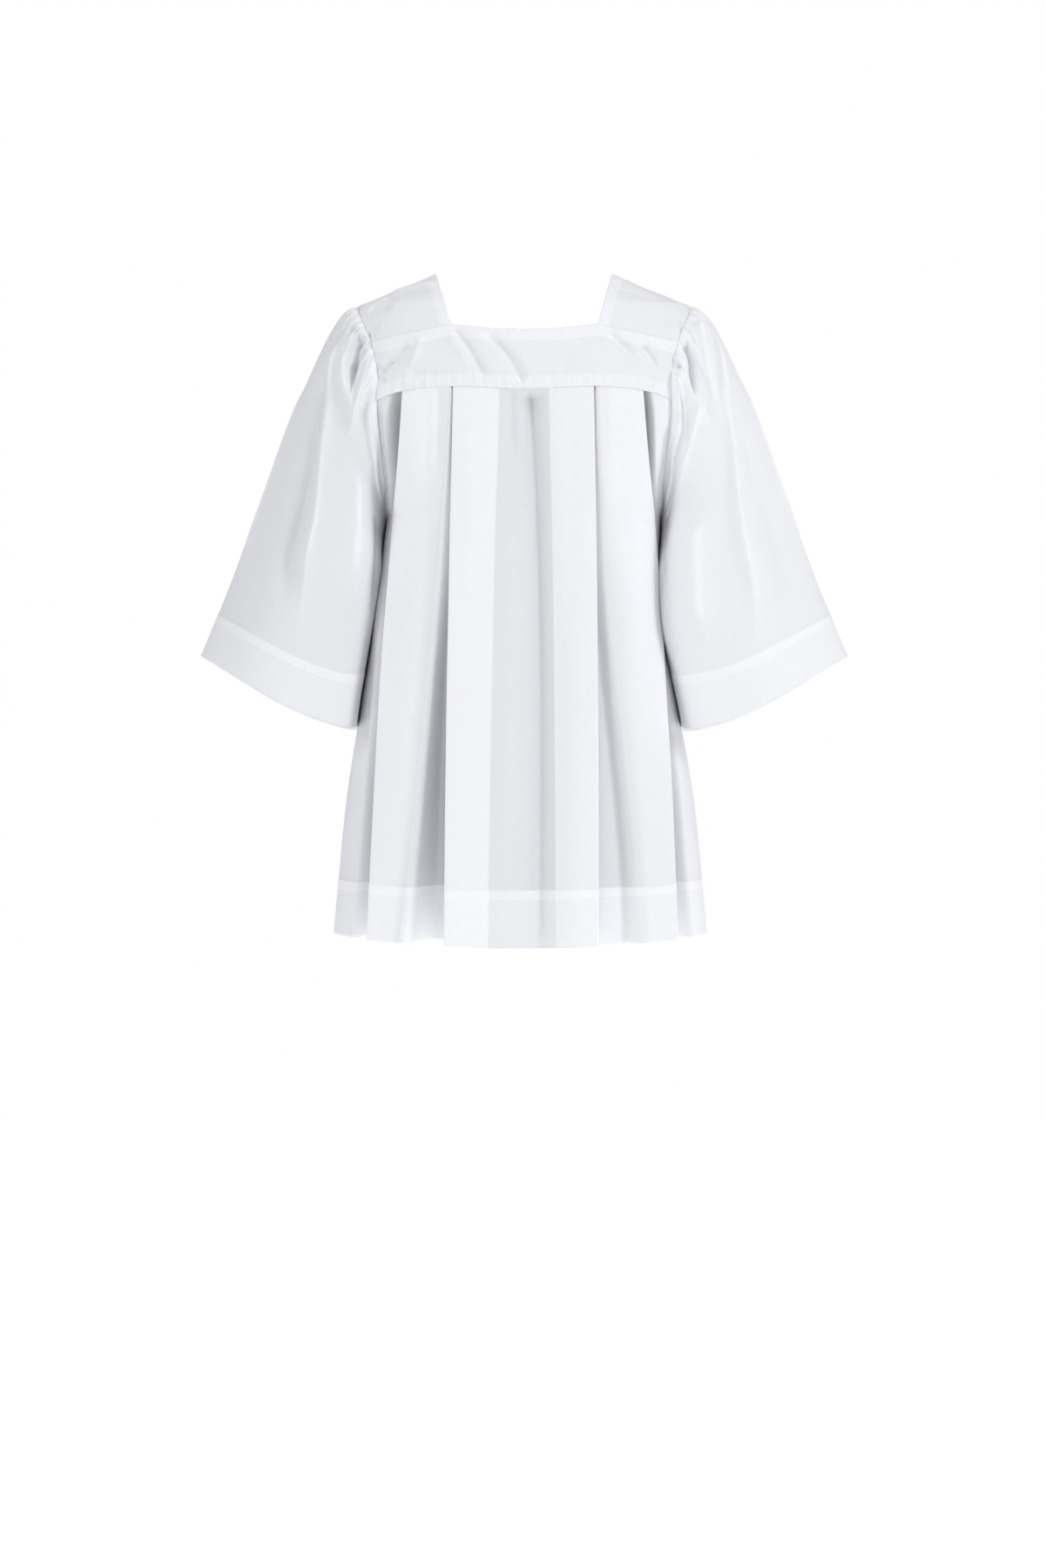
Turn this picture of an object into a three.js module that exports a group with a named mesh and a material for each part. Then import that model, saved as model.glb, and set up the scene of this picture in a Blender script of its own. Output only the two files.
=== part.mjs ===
// A surplice of thin white cloth, in the hollow shape it takes when worn. The square neck is
// framed by a back yoke, a front yoke and two shoulder straps. Two pleated panels hang from the
// yokes, and two bell sleeves are gathered into the armholes.
// Millimetres. +X is the garment's right as worn, +Y its front and +Z up. The origin lies
// between the shoulders, level with the middle of both straps.
import * as THREE from "three";

const { clamp, degToRad, lerp, smoothstep } = THREE.MathUtils;

// Driving dimensions of the cloth and its seams
const CLOTH = 1.2;
const HEM_CLOTH = 1.9;
const SEAM_GAP = 0.4;
const ARMHOLE_GAP = { shoulder: 0.9, underarm: 1.7 };
const BODY_HEM = 65;
const SLEEVE_HEM = 50;

// Heights of the seams and edges. The side value is at the armhole, or at the side seam, and
// the bend is the power by which a level falls from the middle of a panel to its side.
const NECK_TOP = 17;
const SHOULDER_TIP = -17;
const UNDERARM = -240;
const HEM = { centre: -681, side: -669, bend: 2 };
const YOKE_BEND = 5;
const BACK = {
  side: -1,
  neck: { halfWidth: 74.7, centre: -48, corner: -42, strapEnd: -58 },
  yoke: { centre: -111, side: -120 },
};
const FRONT = {
  side: 1,
  neck: { halfWidth: 77, centre: -80, corner: -75, strapEnd: -84 },
  yoke: { centre: -142, side: -150 },
};

// The plain outline of the garment at each height: half its width, half its depth at the back
// and at the front, and how square its corners are, 2 being an ellipse.
const SECTIONS = [
  { z: 17, width: 92, back: 42, front: 40, square: 2.4 },
  { z: 0, width: 132.5, back: 62, front: 58, square: 2.4 },
  { z: -14, width: 165.5, back: 73.5, front: 69.5, square: 2.4 },
  { z: -17, width: 173, back: 76, front: 72, square: 2.4 },
  { z: -42, width: 185, back: 88, front: 86, square: 2.4 },
  { z: -58, width: 189, back: 93, front: 92, square: 2.4 },
  { z: -95, width: 194, back: 102, front: 102, square: 2.4 },
  { z: -120, width: 191, back: 106, front: 107, square: 2.5 },
  { z: -180, width: 162, back: 113, front: 113, square: 2.8 },
  { z: -225, width: 142.5, back: 118, front: 117, square: 3.1 },
  { z: -240, width: 139.5, back: 119, front: 118, square: 3.2 },
  { z: -300, width: 142, back: 124, front: 122, square: 3.4 },
  { z: -351, width: 147, back: 128, front: 125, square: 3.4 },
  { z: -403, width: 157, back: 132, front: 129, square: 3.3 },
  { z: -450, width: 166, back: 137, front: 133, square: 3.2 },
  { z: -544, width: 181, back: 146, front: 141, square: 3.0 },
  { z: -681, width: 194, back: 158, front: 152, square: 2.9 },
];

// Where the outer fold of each knife pleat lies, measured from the middle of the panel.
const FOLD_LINES = [
  { z: -111, inner: 72, outer: 123 },
  { z: -166, inner: 73.5, outer: 129 },
  { z: -234, inner: 75, outer: 132.5 },
  { z: -323, inner: 76.5, outer: 136.5 },
  { z: -424, inner: 77.5, outer: 143.5 },
  { z: -540, inner: 78.3, outer: 149.8 },
  { z: -680, inner: 78.6, outer: 155 },
];

// How the pleats open between the yoke and the hem: how far each is folded under, how far beyond
// the fold the cloth is back up at the face, how deep its lowest layer lies, how far the outer
// fold stands out, and the radius of the folds.
const PLEATS = [
  { fall: 0, innerLap: 44, outerLap: 36, innerRamp: 8, outerRamp: 7, deep: 3.6, stand: 0, radius: 0.9 },
  { fall: 0.1, innerLap: 44, outerLap: 36, innerRamp: 12, outerRamp: 9, deep: 6, stand: 1, radius: 1.1 },
  { fall: 0.4, innerLap: 43, outerLap: 37, innerRamp: 26, outerRamp: 20, deep: 15, stand: 5, radius: 1.5 },
  { fall: 1, innerLap: 43, outerLap: 40, innerRamp: 42, outerRamp: 34, deep: 27, stand: 7, radius: 2.2 },
];
// The share of the lap along which the lowest layer lies flat before it starts back up.
const FLAT_LAP = [
  { fall: 0, share: 1 },
  { fall: 0.1, share: 0.85 },
  { fall: 0.4, share: 0.3 },
  { fall: 1, share: 0 },
];

// The armhole loop, and the sleeve's outline from there to its hem: the ridge over the arm, the
// line under it, half the depth from back to front, and how far the lower edge sags.
const ARMHOLE = { middle: -128.5, halfHeight: 111.5, halfDepth: 76, roundness: 0.95 };
const SLEEVE = [
  { run: 0, ridgeX: 173, ridgeZ: -17, underX: 139.5, underZ: -240, depth: 76, sag: 0 },
  { run: 0.03, ridgeX: 184.5, ridgeZ: -22, underX: 142, underZ: -244, depth: 79, sag: 0 },
  { run: 0.08, ridgeX: 199, ridgeZ: -39.5, underX: 143.5, underZ: -253, depth: 83, sag: 1 },
  { run: 0.16, ridgeX: 215.5, ridgeZ: -71.5, underX: 145, underZ: -270, depth: 87, sag: 2 },
  { run: 0.3, ridgeX: 240, ridgeZ: -130, underX: 146, underZ: -300, depth: 93, sag: 5 },
  { run: 0.5, ridgeX: 269, ridgeZ: -210, underX: 151, underZ: -345, depth: 102, sag: 9 },
  { run: 0.75, ridgeX: 304, ridgeZ: -301, underX: 160, underZ: -400, depth: 111, sag: 12 },
  { run: 1, ridgeX: 337, ridgeZ: -381, underX: 171, underZ: -455, depth: 120, sag: 14.2 },
];
// The edge sags most between its middle and the underarm: the power shapes the curve, and the
// lean moves its lowest point towards the underarm.
const SAG = { power: 1.5, lean: 0.8 };

// The gathers at the sleeve's head, and the large soft folds that run down from them. Angles go
// round the sleeve from the ridge, and the same folds lie at the back and at the front. A fold
// has reached its low angle at the settled run.
const SETTLED_RUN = 0.7;
const GATHERS = { spread: 72, each: 9, height: 2.6, start: 0.03, end: 0.26 };
const SLEEVE_FOLDS = [
  { topAngle: 24, lowAngle: 76, height: 6, width: 11, start: 0.06, end: 0.9 },
  { topAngle: 52, lowAngle: 104, height: -6, width: 10, start: 0.05, end: 0.6 },
  { topAngle: 74, lowAngle: 124, height: 7, width: 13, start: 0.05, end: 0.55 },
];

const WHITE_COTTON = new THREE.MeshStandardMaterial({
  name: "white_cotton",
  color: "#f1f1f4",
  roughness: 0.85,
  metalness: 0,
});

// A smooth curve through one column of a table, which never swings past its rows.
function through(rows, key, column) {
  const x = rows.map((row) => row[key]);
  const y = rows.map((row) => row[column]);
  const slope = x.slice(1).map((next, i) => (y[i + 1] - y[i]) / (next - x[i]));
  const tangent = x.map((_, i) => {
    const before = slope[Math.max(i - 1, 0)];
    const after = slope[Math.min(i, slope.length - 1)];
    return before * after <= 0 ? 0 : (2 * before * after) / (before + after);
  });
  const way = Math.sign(x[1] - x[0]);
  return (at) => {
    let i = 0;
    while (i < x.length - 2 && (at - x[i + 1]) * way > 0) i += 1;
    const span = x[i + 1] - x[i];
    const t = clamp((at - x[i]) / span, 0, 1);
    const ends = y[i] * (1 + 2 * t) * (1 - t) ** 2 + y[i + 1] * t * t * (3 - 2 * t);
    return ends + span * t * (1 - t) * (tangent[i] * (1 - t) - tangent[i + 1] * t);
  };
}

const curvesOf = (rows, key) =>
  Object.fromEntries(
    Object.keys(rows[0])
      .filter((column) => column !== key)
      .map((column) => [column, through(rows, key, column)]),
  );

const section = curvesOf(SECTIONS, "z");
const foldLine = curvesOf(FOLD_LINES, "z");
const pleat = curvesOf(PLEATS, "fall");
const flatLap = through(FLAT_LAP, "fall", "share");
const sleeve = curvesOf(SLEEVE, "run");

const depthOf = (z, side) => (side < 0 ? section.back(z) : section.front(z));

// The point of the figure's outline at breadth x and height z, at the back or the front.
function onFigure(x, z, side) {
  const n = section.square(z);
  const share = Math.min(Math.abs(x) / section.width(z), 1);
  return new THREE.Vector3(x, side * depthOf(z, side) * (1 - share ** n) ** (1 / n), z);
}

// The same outline in polar form, where turn is 0 in the middle of the back or the front and
// a right angle at the side.
function roundFigure(turn, z, side) {
  const n = section.square(z);
  const across = Math.sin(turn) / section.width(z);
  const along = Math.cos(turn) / depthOf(z, side);
  const radius = (across ** n + Math.abs(along) ** n) ** (-1 / n);
  return new THREE.Vector2(radius * Math.sin(turn), side * radius * Math.cos(turn));
}

// The armhole on the wearer's right. The angle is 0 at the shoulder tip and pi under the arm.
function armhole(angle) {
  const z = ARMHOLE.middle + ARMHOLE.halfHeight * Math.cos(angle);
  const sine = Math.sin(angle);
  const y = Math.sign(sine) * ARMHOLE.halfDepth * Math.abs(sine) ** ARMHOLE.roundness;
  const n = section.square(z);
  const share = Math.min(Math.abs(y) / depthOf(z, Math.sign(y)), 1);
  return new THREE.Vector3(section.width(z) * (1 - share ** n) ** (1 / n), y, z);
}

function armholeAt(z, side) {
  const cosine = clamp((z - ARMHOLE.middle) / ARMHOLE.halfHeight, -1, 1);
  return armhole(side * Math.acos(cosine));
}

// A closed wall of cloth on a grid of points, rows by columns. The wall reaches half the cloth
// outwards, and inwards as far as thickness gives for each row.
function clothGeometry(grid, { tube = false, thickness = () => CLOTH }) {
  const rows = grid.length;
  const columns = grid[0].length;
  const at = (row, column) =>
    grid[clamp(row, 0, rows - 1)][
      tube ? (column + columns) % columns : clamp(column, 0, columns - 1)
    ];
  const along = (row, column, down, right) => {
    const here = at(row, column);
    const before = here.clone().sub(at(row - down, column - right)).normalize();
    return before.add(at(row + down, column + right).clone().sub(here).normalize());
  };
  const outer = [];
  const inner = [];
  for (let row = 0; row < rows; row += 1)
    for (let column = 0; column < columns; column += 1) {
      const normal = along(row, column, 1, 0).cross(along(row, column, 0, 1)).normalize();
      const out = normal.clone().multiplyScalar(CLOTH / 2);
      const into = normal.multiplyScalar(CLOTH / 2 - thickness(row));
      outer.push(at(row, column).clone().add(out));
      inner.push(at(row, column).clone().add(into));
    }
  const count = outer.length;
  const faces = [];
  const quad = (a, b, c, d) => faces.push(a, b, c, a, c, d);
  const index = (row, column) => row * columns + (column % columns);
  // Each quad is split along the diagonal that lies further out, the same in both skins and in
  // every layer of a pleat, so that they can't cross.
  const reach = (p, q) => Math.hypot(p.x + q.x, p.y + q.y);
  const fallingLiesOut = (row, column) =>
    reach(at(row, column), at(row + 1, column + 1)) >= reach(at(row, column + 1), at(row + 1, column));
  const spans = tube ? columns : columns - 1;
  for (let row = 0; row < rows - 1; row += 1)
    for (let column = 0; column < spans; column += 1) {
      const places = [[row, column], [row, column + 1], [row + 1, column + 1], [row + 1, column]];
      if (!fallingLiesOut(row, column)) places.push(places.shift());
      const [a, b, c, d] = places.map((place) => index(...place));
      quad(a, d, c, b);
      quad(a + count, b + count, c + count, d + count);
    }
  const rim = (a, b) => quad(a, b, b + count, a + count);
  for (let column = 0; column < spans; column += 1) {
    rim(index(0, column), index(0, column + 1));
    rim(index(rows - 1, column + 1), index(rows - 1, column));
  }
  for (let row = 0; !tube && row < rows - 1; row += 1) {
    rim(index(row + 1, 0), index(row, 0));
    rim(index(row, columns - 1), index(row + 1, columns - 1));
  }
  const geometry = new THREE.BufferGeometry().setFromPoints([...outer, ...inner]);
  geometry.setIndex(faces);
  geometry.computeVertexNormals();
  return geometry;
}

function piece(name, grid, options = {}) {
  const mesh = new THREE.Mesh(clothGeometry(grid, options), WHITE_COTTON);
  mesh.name = name;
  return mesh;
}

// Grids run left to right as seen from outside, so a piece at the front or on the other side
// has its rows turned round.
const turnedIf = (turn, grid) => (turn ? grid.map((row) => row.toReversed()) : grid);

// A yoke lies flat on the figure, from one armhole to the other. Its upper edge is the neck
// between the two corners, and the strap seams beyond them.
const YOKE_COLUMNS = { neck: 5, strap: 7 };
const YOKE_ROWS = 4;

function yokeTop(share, { neck, side }) {
  const edge = armholeAt(neck.strapEnd, side).x;
  const corner = neck.halfWidth / edge;
  if (share <= corner) return lerp(neck.centre, neck.corner, (share / corner) ** 2);
  return lerp(neck.corner, neck.strapEnd, (share - corner) / (1 - corner));
}

function yokeGrid(panel) {
  const { neck, yoke, side } = panel;
  const corner = neck.halfWidth / armholeAt(neck.strapEnd, side).x;
  const half = [];
  for (let i = 0; i <= YOKE_COLUMNS.neck; i += 1) half.push((corner * i) / YOKE_COLUMNS.neck);
  for (let i = 1; i <= YOKE_COLUMNS.strap; i += 1)
    half.push(lerp(corner, 1, i / YOKE_COLUMNS.strap));
  const shares = [...half.slice(1).map((share) => -share).toReversed(), ...half];
  const grid = [];
  for (let row = 0; row <= YOKE_ROWS; row += 1) {
    const down = row / YOKE_ROWS;
    const edge = armholeAt(lerp(neck.strapEnd, yoke.side, down), side).x;
    grid.push(
      shares.map((share) => {
        const top = yokeTop(Math.abs(share), panel);
        const bottom = lerp(yoke.centre, yoke.side, Math.abs(share) ** YOKE_BEND);
        return onFigure(share * edge, lerp(top, bottom, down), side);
      }),
    );
  }
  return turnedIf(side > 0, grid);
}

// A shoulder strap goes over the shoulder from the back yoke to the front yoke. Its breadth runs
// from the neck edge to the armhole.
const STRAP_COLUMNS = 6;
const STRAP_ROWS = 8;

function strapPoint(breadth, travel) {
  const panel = travel < 0 ? BACK : FRONT;
  const fall = 1 - Math.cos((Math.abs(travel) * Math.PI) / 2);
  const { halfWidth, corner, strapEnd } = panel.neck;
  const neckZ = lerp(NECK_TOP, corner + SEAM_GAP, fall);
  const neckX = lerp(section.width(NECK_TOP), halfWidth, fall);
  const arm = armholeAt(lerp(SHOULDER_TIP, strapEnd + SEAM_GAP, fall), panel.side);
  const ridgeZ = lerp(NECK_TOP, SHOULDER_TIP, breadth);
  const straight = lerp(section.width(NECK_TOP), section.width(SHOULDER_TIP), breadth);
  const bow = (section.width(ridgeZ) - straight) * (1 - fall) ** 2;
  const x = lerp(neckX, arm.x, breadth) + bow;
  const z = lerp(neckZ, arm.z, breadth);
  const point = onFigure(x, z, panel.side);
  if (travel === 0) point.y = 0;
  return point;
}

function strapGrid(hand) {
  const grid = [];
  for (let row = -STRAP_ROWS; row <= STRAP_ROWS; row += 1) {
    const points = [];
    for (let column = 0; column <= STRAP_COLUMNS; column += 1) {
      const point = strapPoint(column / STRAP_COLUMNS, row / STRAP_ROWS);
      point.x *= hand;
      points.push(point);
    }
    grid.push(points);
  }
  return turnedIf(hand > 0, grid);
}

// One level of a body panel's outline: from the middle of the panel to the armhole or the side
// seam, with lengths measured along the cloth.
const OUTLINE_STEPS = 60;

function outlineAt(centreZ, sideZ, bend, side) {
  const edge = armholeAt(Math.max(sideZ, UNDERARM), side);
  const belowArm = sideZ <= UNDERARM;
  const edgeX = belowArm ? section.width(sideZ) : edge.x;
  const lastTurn = belowArm ? Math.PI / 2 : Math.atan2(edge.x, Math.abs(edge.y));
  const heightAt = (x) => lerp(centreZ, sideZ, (x / edgeX) ** bend);
  const pointAt = (turn) => {
    const rough = roundFigure(turn, centreZ, side);
    const z = heightAt(rough.x);
    const flat = roundFigure(turn, z, side);
    return new THREE.Vector3(flat.x, flat.y, heightAt(flat.x));
  };
  const points = [];
  const lengths = [];
  for (let i = 0; i <= OUTLINE_STEPS; i += 1) {
    points.push(pointAt((lastTurn * i) / OUTLINE_STEPS));
    lengths.push(i ? lengths[i - 1] + points[i].distanceTo(points[i - 1]) : 0);
  }
  const total = lengths[OUTLINE_STEPS];
  const lengthTo = (x) => {
    const i = clamp(points.findIndex((point) => point.x >= x), 1, OUTLINE_STEPS);
    const share = (x - points[i - 1].x) / (points[i].x - points[i - 1].x);
    return lerp(lengths[i - 1], lengths[i], share);
  };
  // The point at a length along the cloth, moved inwards by depth.
  const at = (length, depth) => {
    const i = clamp(lengths.findIndex((reached) => reached >= length), 1, OUTLINE_STEPS);
    const share = (length - lengths[i - 1]) / (lengths[i] - lengths[i - 1]);
    const turn = (lastTurn * (i - 1 + share)) / OUTLINE_STEPS;
    const point = pointAt(turn);
    const n = section.square(point.z);
    const inwards = new THREE.Vector3(
      -((point.x / section.width(point.z)) ** (n - 1)) / section.width(point.z),
      (-side * (Math.abs(point.y) / depthOf(point.z, side)) ** (n - 1)) / depthOf(point.z, side),
      0,
    ).normalize();
    return point.addScaledVector(inwards, depth);
  };
  return { total, lengthTo, at };
}

// The course of the cloth through one knife pleat, as lengths and depths: over the outer fold,
// back under it to the inner fold, and out again to the face. Its layers have their points at
// the same lengths, which keeps them apart where the panel curves.
const RISE_STEPS = [1 / 3, 2 / 3, 1];

function knifePleat({ fold, face, lap, flat, deep, ramp, radius, lapSteps }) {
  const inner = fold - lap + radius;
  const outer = fold - radius;
  const onLap = lapSteps.map((share) => lerp(inner, outer, share));
  const returning = (length) =>
    lerp(deep - 2 * radius, face + 2 * radius, (length - inner) / (outer - inner));
  const start = lerp(inner, outer, flat);
  const rising = (length) => deep * (1 - smoothstep(length, start, fold + ramp));
  return [
    [outer, face],
    [fold, face + radius],
    ...[outer, ...onLap.toReversed(), inner].map((length) => [length, returning(length)]),
    [inner - radius, deep - radius],
    ...[inner, ...onLap, outer].map((length) => [length, rising(length)]),
    ...RISE_STEPS.map((share) => lerp(outer, fold + ramp, share)).map((length) => [
      length,
      rising(length),
    ]),
  ];
}

// Half of a body panel at one level, from its middle to the armhole or side seam.
const INNER_LAP_STEPS = [0.5];
const OUTER_LAP_STEPS = [1 / 3, 2 / 3];
const FACE_STEPS = [0.45, 0.73];
const SIDE_STEPS = [0.33, 0.66, 1];

function halfLevel(centreZ, sideZ, fall, side) {
  const outline = outlineAt(centreZ, sideZ, lerp(YOKE_BEND, HEM.bend, fall), side);
  const now = Object.fromEntries(
    Object.entries(pleat).map(([name, curve]) => [name, curve(fall)]),
  );
  const { deep, stand, radius, innerLap, outerLap, innerRamp, outerRamp } = now;
  const both = { deep, radius, flat: flatLap(fall) };
  const innerFold = outline.lengthTo(foldLine.inner(centreZ));
  const outerFold = outline.lengthTo(foldLine.outer(centreZ));
  const inner = { ...both, fold: innerFold, face: 0, lap: innerLap, ramp: innerRamp };
  const outer = { ...both, fold: outerFold, face: -stand, lap: outerLap, ramp: outerRamp };
  const underEdge = innerFold - innerLap + radius;
  const onCentre = INNER_LAP_STEPS.map((share) => lerp(underEdge, innerFold - radius, share));
  const face = innerFold + innerRamp;
  const flank = outerFold + outerRamp;
  const edge = outline.total - SEAM_GAP / 2;
  const course = [
    ...[0, underEdge, ...onCentre].map((length) => [length, 0]),
    ...knifePleat({ ...inner, lapSteps: INNER_LAP_STEPS }),
    ...FACE_STEPS.map((share) => [lerp(face, outerFold, share), -stand * share * share]),
    ...knifePleat({ ...outer, lapSteps: OUTER_LAP_STEPS }),
    ...SIDE_STEPS.map((share) => [lerp(flank, edge, share), 0]),
  ];
  return course.map(([length, depth]) => outline.at(length, depth));
}

// The levels of a body panel, given by their height at the side. The last one but one is the
// top of the hem, where the turned-up cloth makes the wall thicker.
const HEM_STEP = 2;
const ARM_LEVELS = [0.25, 0.5, 0.73, 0.88, 0.97, 1];
const SKIRT_LEVELS = [0.15, 0.32, 0.5, 0.68, 0.84];

function bodyLevels(panel) {
  const top = panel.yoke.side - SEAM_GAP;
  const hemTop = HEM.side + BODY_HEM;
  return [
    top,
    ...ARM_LEVELS.map((share) => lerp(top, UNDERARM, share)),
    ...SKIRT_LEVELS.map((share) => lerp(UNDERARM, hemTop, share)),
    hemTop + HEM_STEP,
    hemTop,
    HEM.side,
  ];
}

function bodyGrid(panel) {
  const { yoke, side } = panel;
  const levels = bodyLevels(panel);
  const grid = levels.map((sideZ) => {
    const fall = (levels[0] - sideZ) / (levels[0] - HEM.side);
    const centreZ = lerp(yoke.centre - SEAM_GAP, HEM.centre, fall);
    const half = halfLevel(centreZ, sideZ, fall, side);
    const mirrored = half.slice(1).map(({ x, y, z }) => new THREE.Vector3(-x, y, z));
    return [...mirrored.toReversed(), ...half];
  });
  return turnedIf(side > 0, grid);
}

const hemThickness = (rows) => (row) => (row >= rows - 2 ? HEM_CLOTH : CLOTH);

// How much of a fold stands between its start and its end along the sleeve.
const swell = (run, start, end) =>
  smoothstep(run, 0, start) * (1 - smoothstep(run, start, end));

// How far the sleeve's cloth stands out from its plain form at an angle, in degrees.
function sleeveRelief(angle, run) {
  const away = Math.abs(angle);
  const gathered = 1 - smoothstep(away, GATHERS.spread, GATHERS.spread + GATHERS.each);
  const wave = Math.cos((2 * Math.PI * away) / GATHERS.each);
  const gathers = GATHERS.height * gathered * wave * swell(run, GATHERS.start, GATHERS.end);
  return SLEEVE_FOLDS.reduce((sum, fold) => {
    const centre = lerp(fold.topAngle, fold.lowAngle, smoothstep(run, 0, SETTLED_RUN));
    const shape = Math.exp(-(((away - centre) / fold.width) ** 2));
    return sum + fold.height * shape * swell(run, fold.start, fold.end);
  }, gathers);
}

// The sleeve as a tube from the armhole to its hem, round by angle and along by run.
const ARMHOLE_SHARE = 0.3;

function sleevePoint(angle, run) {
  const turn = degToRad(angle);
  const sine = Math.abs(Math.sin(turn));
  const plain = (along) =>
    new THREE.Vector3(
      lerp(sleeve.underX(along), sleeve.ridgeX(along), (1 + Math.cos(turn)) / 2),
      Math.sign(Math.sin(turn)) * sleeve.depth(along) * sine ** ARMHOLE.roundness,
      lerp(sleeve.underZ(along), sleeve.ridgeZ(along), (1 + Math.cos(turn)) / 2) -
        sleeve.sag(along) * sine ** SAG.power * (1 - SAG.lean * Math.cos(turn)),
    );
  const point = plain(run);
  const seam = armhole(turn).sub(plain(0));
  point.addScaledVector(seam, 1 - smoothstep(run, 0, ARMHOLE_SHARE));
  const middle = new THREE.Vector3(
    (sleeve.underX(run) + sleeve.ridgeX(run)) / 2,
    0,
    (sleeve.underZ(run) + sleeve.ridgeZ(run)) / 2,
  );
  const outwards = point.clone().sub(middle).normalize();
  point.addScaledVector(outwards, sleeveRelief(angle, run));
  const gap = lerp(ARMHOLE_GAP.underarm, ARMHOLE_GAP.shoulder, (1 + Math.cos(turn)) / 2);
  point.x += gap * (1 - smoothstep(run, 0, ARMHOLE_SHARE));
  return point;
}

// Columns lie four to a gather at the head of the sleeve, and further apart under the arm.
const UNDER_STEP = 9;
const SLEEVE_RUNS = [0, 0.03, 0.075, 0.13, 0.2, 0.3, 0.45, 0.65];
const SLEEVE_LENGTH = 405;

function sleeveAngles() {
  const angles = [];
  const step = GATHERS.each / 4;
  for (let angle = -GATHERS.spread; angle < GATHERS.spread; angle += step) angles.push(angle);
  for (let angle = GATHERS.spread; angle < 360 - GATHERS.spread; angle += UNDER_STEP)
    angles.push(angle > 180 ? angle - 360 : angle);
  return angles;
}

function sleeveGrid(hand) {
  const hemTop = 1 - SLEEVE_HEM / SLEEVE_LENGTH;
  const runs = [...SLEEVE_RUNS, hemTop - HEM_STEP / SLEEVE_LENGTH, hemTop, 1];
  const grid = runs.map((run) =>
    sleeveAngles().map((angle) => {
      const point = sleevePoint(angle, run);
      point.x *= hand;
      return point;
    }),
  );
  return turnedIf(hand < 0, grid);
}

const surplice = new THREE.Group();
surplice.add(piece("yoke_back", yokeGrid(BACK)));
surplice.add(piece("yoke_front", yokeGrid(FRONT)));
for (const [name, panel] of [["body_back", BACK], ["body_front", FRONT]]) {
  const grid = bodyGrid(panel);
  surplice.add(piece(name, grid, { thickness: hemThickness(grid.length) }));
}
for (const [name, hand] of [["right", 1], ["left", -1]]) {
  surplice.add(piece("strap_" + name, strapGrid(hand)));
  const grid = sleeveGrid(hand);
  const thickness = hemThickness(grid.length);
  surplice.add(piece("sleeve_" + name, grid, { tube: true, thickness }));
}

export default surplice;
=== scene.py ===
# A white surplice in the hollow shape that it takes when worn, sewn together piece by piece on
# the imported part. Sizes below are millimetres, as on a pattern, and become metres in each mesh.
# The left half of the garment is at -X and its back is at -Y.
import math

import bpy
import numpy as np
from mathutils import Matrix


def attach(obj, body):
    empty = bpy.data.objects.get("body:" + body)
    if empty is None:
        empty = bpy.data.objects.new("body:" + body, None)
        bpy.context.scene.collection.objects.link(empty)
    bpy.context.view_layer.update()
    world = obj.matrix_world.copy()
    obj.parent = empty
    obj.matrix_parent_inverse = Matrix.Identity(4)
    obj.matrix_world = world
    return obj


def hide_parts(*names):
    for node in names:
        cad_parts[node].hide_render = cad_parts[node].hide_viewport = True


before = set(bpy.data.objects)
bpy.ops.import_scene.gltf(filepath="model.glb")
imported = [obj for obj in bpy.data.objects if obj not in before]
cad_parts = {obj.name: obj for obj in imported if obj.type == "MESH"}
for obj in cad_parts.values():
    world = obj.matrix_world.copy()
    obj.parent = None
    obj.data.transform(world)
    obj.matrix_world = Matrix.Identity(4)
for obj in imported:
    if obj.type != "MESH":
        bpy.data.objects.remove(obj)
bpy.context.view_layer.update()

# The yokes
# Each yoke is a doubled band of cotton that lies flat over the shoulder blades or the chest. The
# seam allowances turned in along its neck edge and its lower seam show through as whiter bands.

MM = 0.001
# The cloth is drawn 0.6 thick, twice what it is, so that its cut edges show.
CLOTH = 0.6
SINGLE, DOUBLED, TRIPLED = 1.0, 2.0, 3.0

# The plain outline of the garment at each height: half its width, half its depth at the back
# and at the front, and how square its corners are, 2 being an ellipse.
OUTLINE = np.array([
    (17, 92, 42, 40, 2.4),
    (0, 132.5, 62, 58, 2.4),
    (-14, 165.5, 73.5, 69.5, 2.4),
    (-17, 173, 76, 72, 2.4),
    (-42, 185, 88, 86, 2.4),
    (-58, 189, 93, 92, 2.4),
    (-95, 194, 102, 102, 2.4),
    (-120, 191, 106, 107, 2.5),
    (-180, 162, 113, 113, 2.8),
    (-225, 142.5, 118, 117, 3.1),
    (-240, 139.5, 119, 118, 3.2),
    (-300, 142, 124, 122, 3.4),
    (-351, 147, 128, 125, 3.4),
    (-403, 157, 132, 129, 3.3),
    (-450, 166, 137, 133, 3.2),
    (-544, 181, 146, 141, 3.0),
    (-681, 194, 158, 152, 2.9),
])
ARMHOLE_MIDDLE, ARMHOLE_HALF_HEIGHT, ARMHOLE_HALF_DEPTH, ARMHOLE_ROUND = -128.5, 111.5, 76, 0.95
BACK, FRONT = -1, 1
# Half the neck's width, then the heights of the neck edge in the middle and at its corner, of
# the strap seam at the armhole, and of the yoke's lower seam in the middle and at the armhole.
PANELS = {
    BACK: {"neck": 74.7, "middle": -48, "corner": -42, "strap": -58, "seam": -110, "side": -120.5},
    FRONT: {"neck": 77, "middle": -80, "corner": -75, "strap": -84, "seam": -141.5, "side": -150},
}
# The lower seam falls towards the armholes with a high power of the breadth, and the pleats
# under it lift it by a sine squared between the middle and the armholes.
YOKE_BEND, SEAM_LIFT = 8, 2.6
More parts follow.
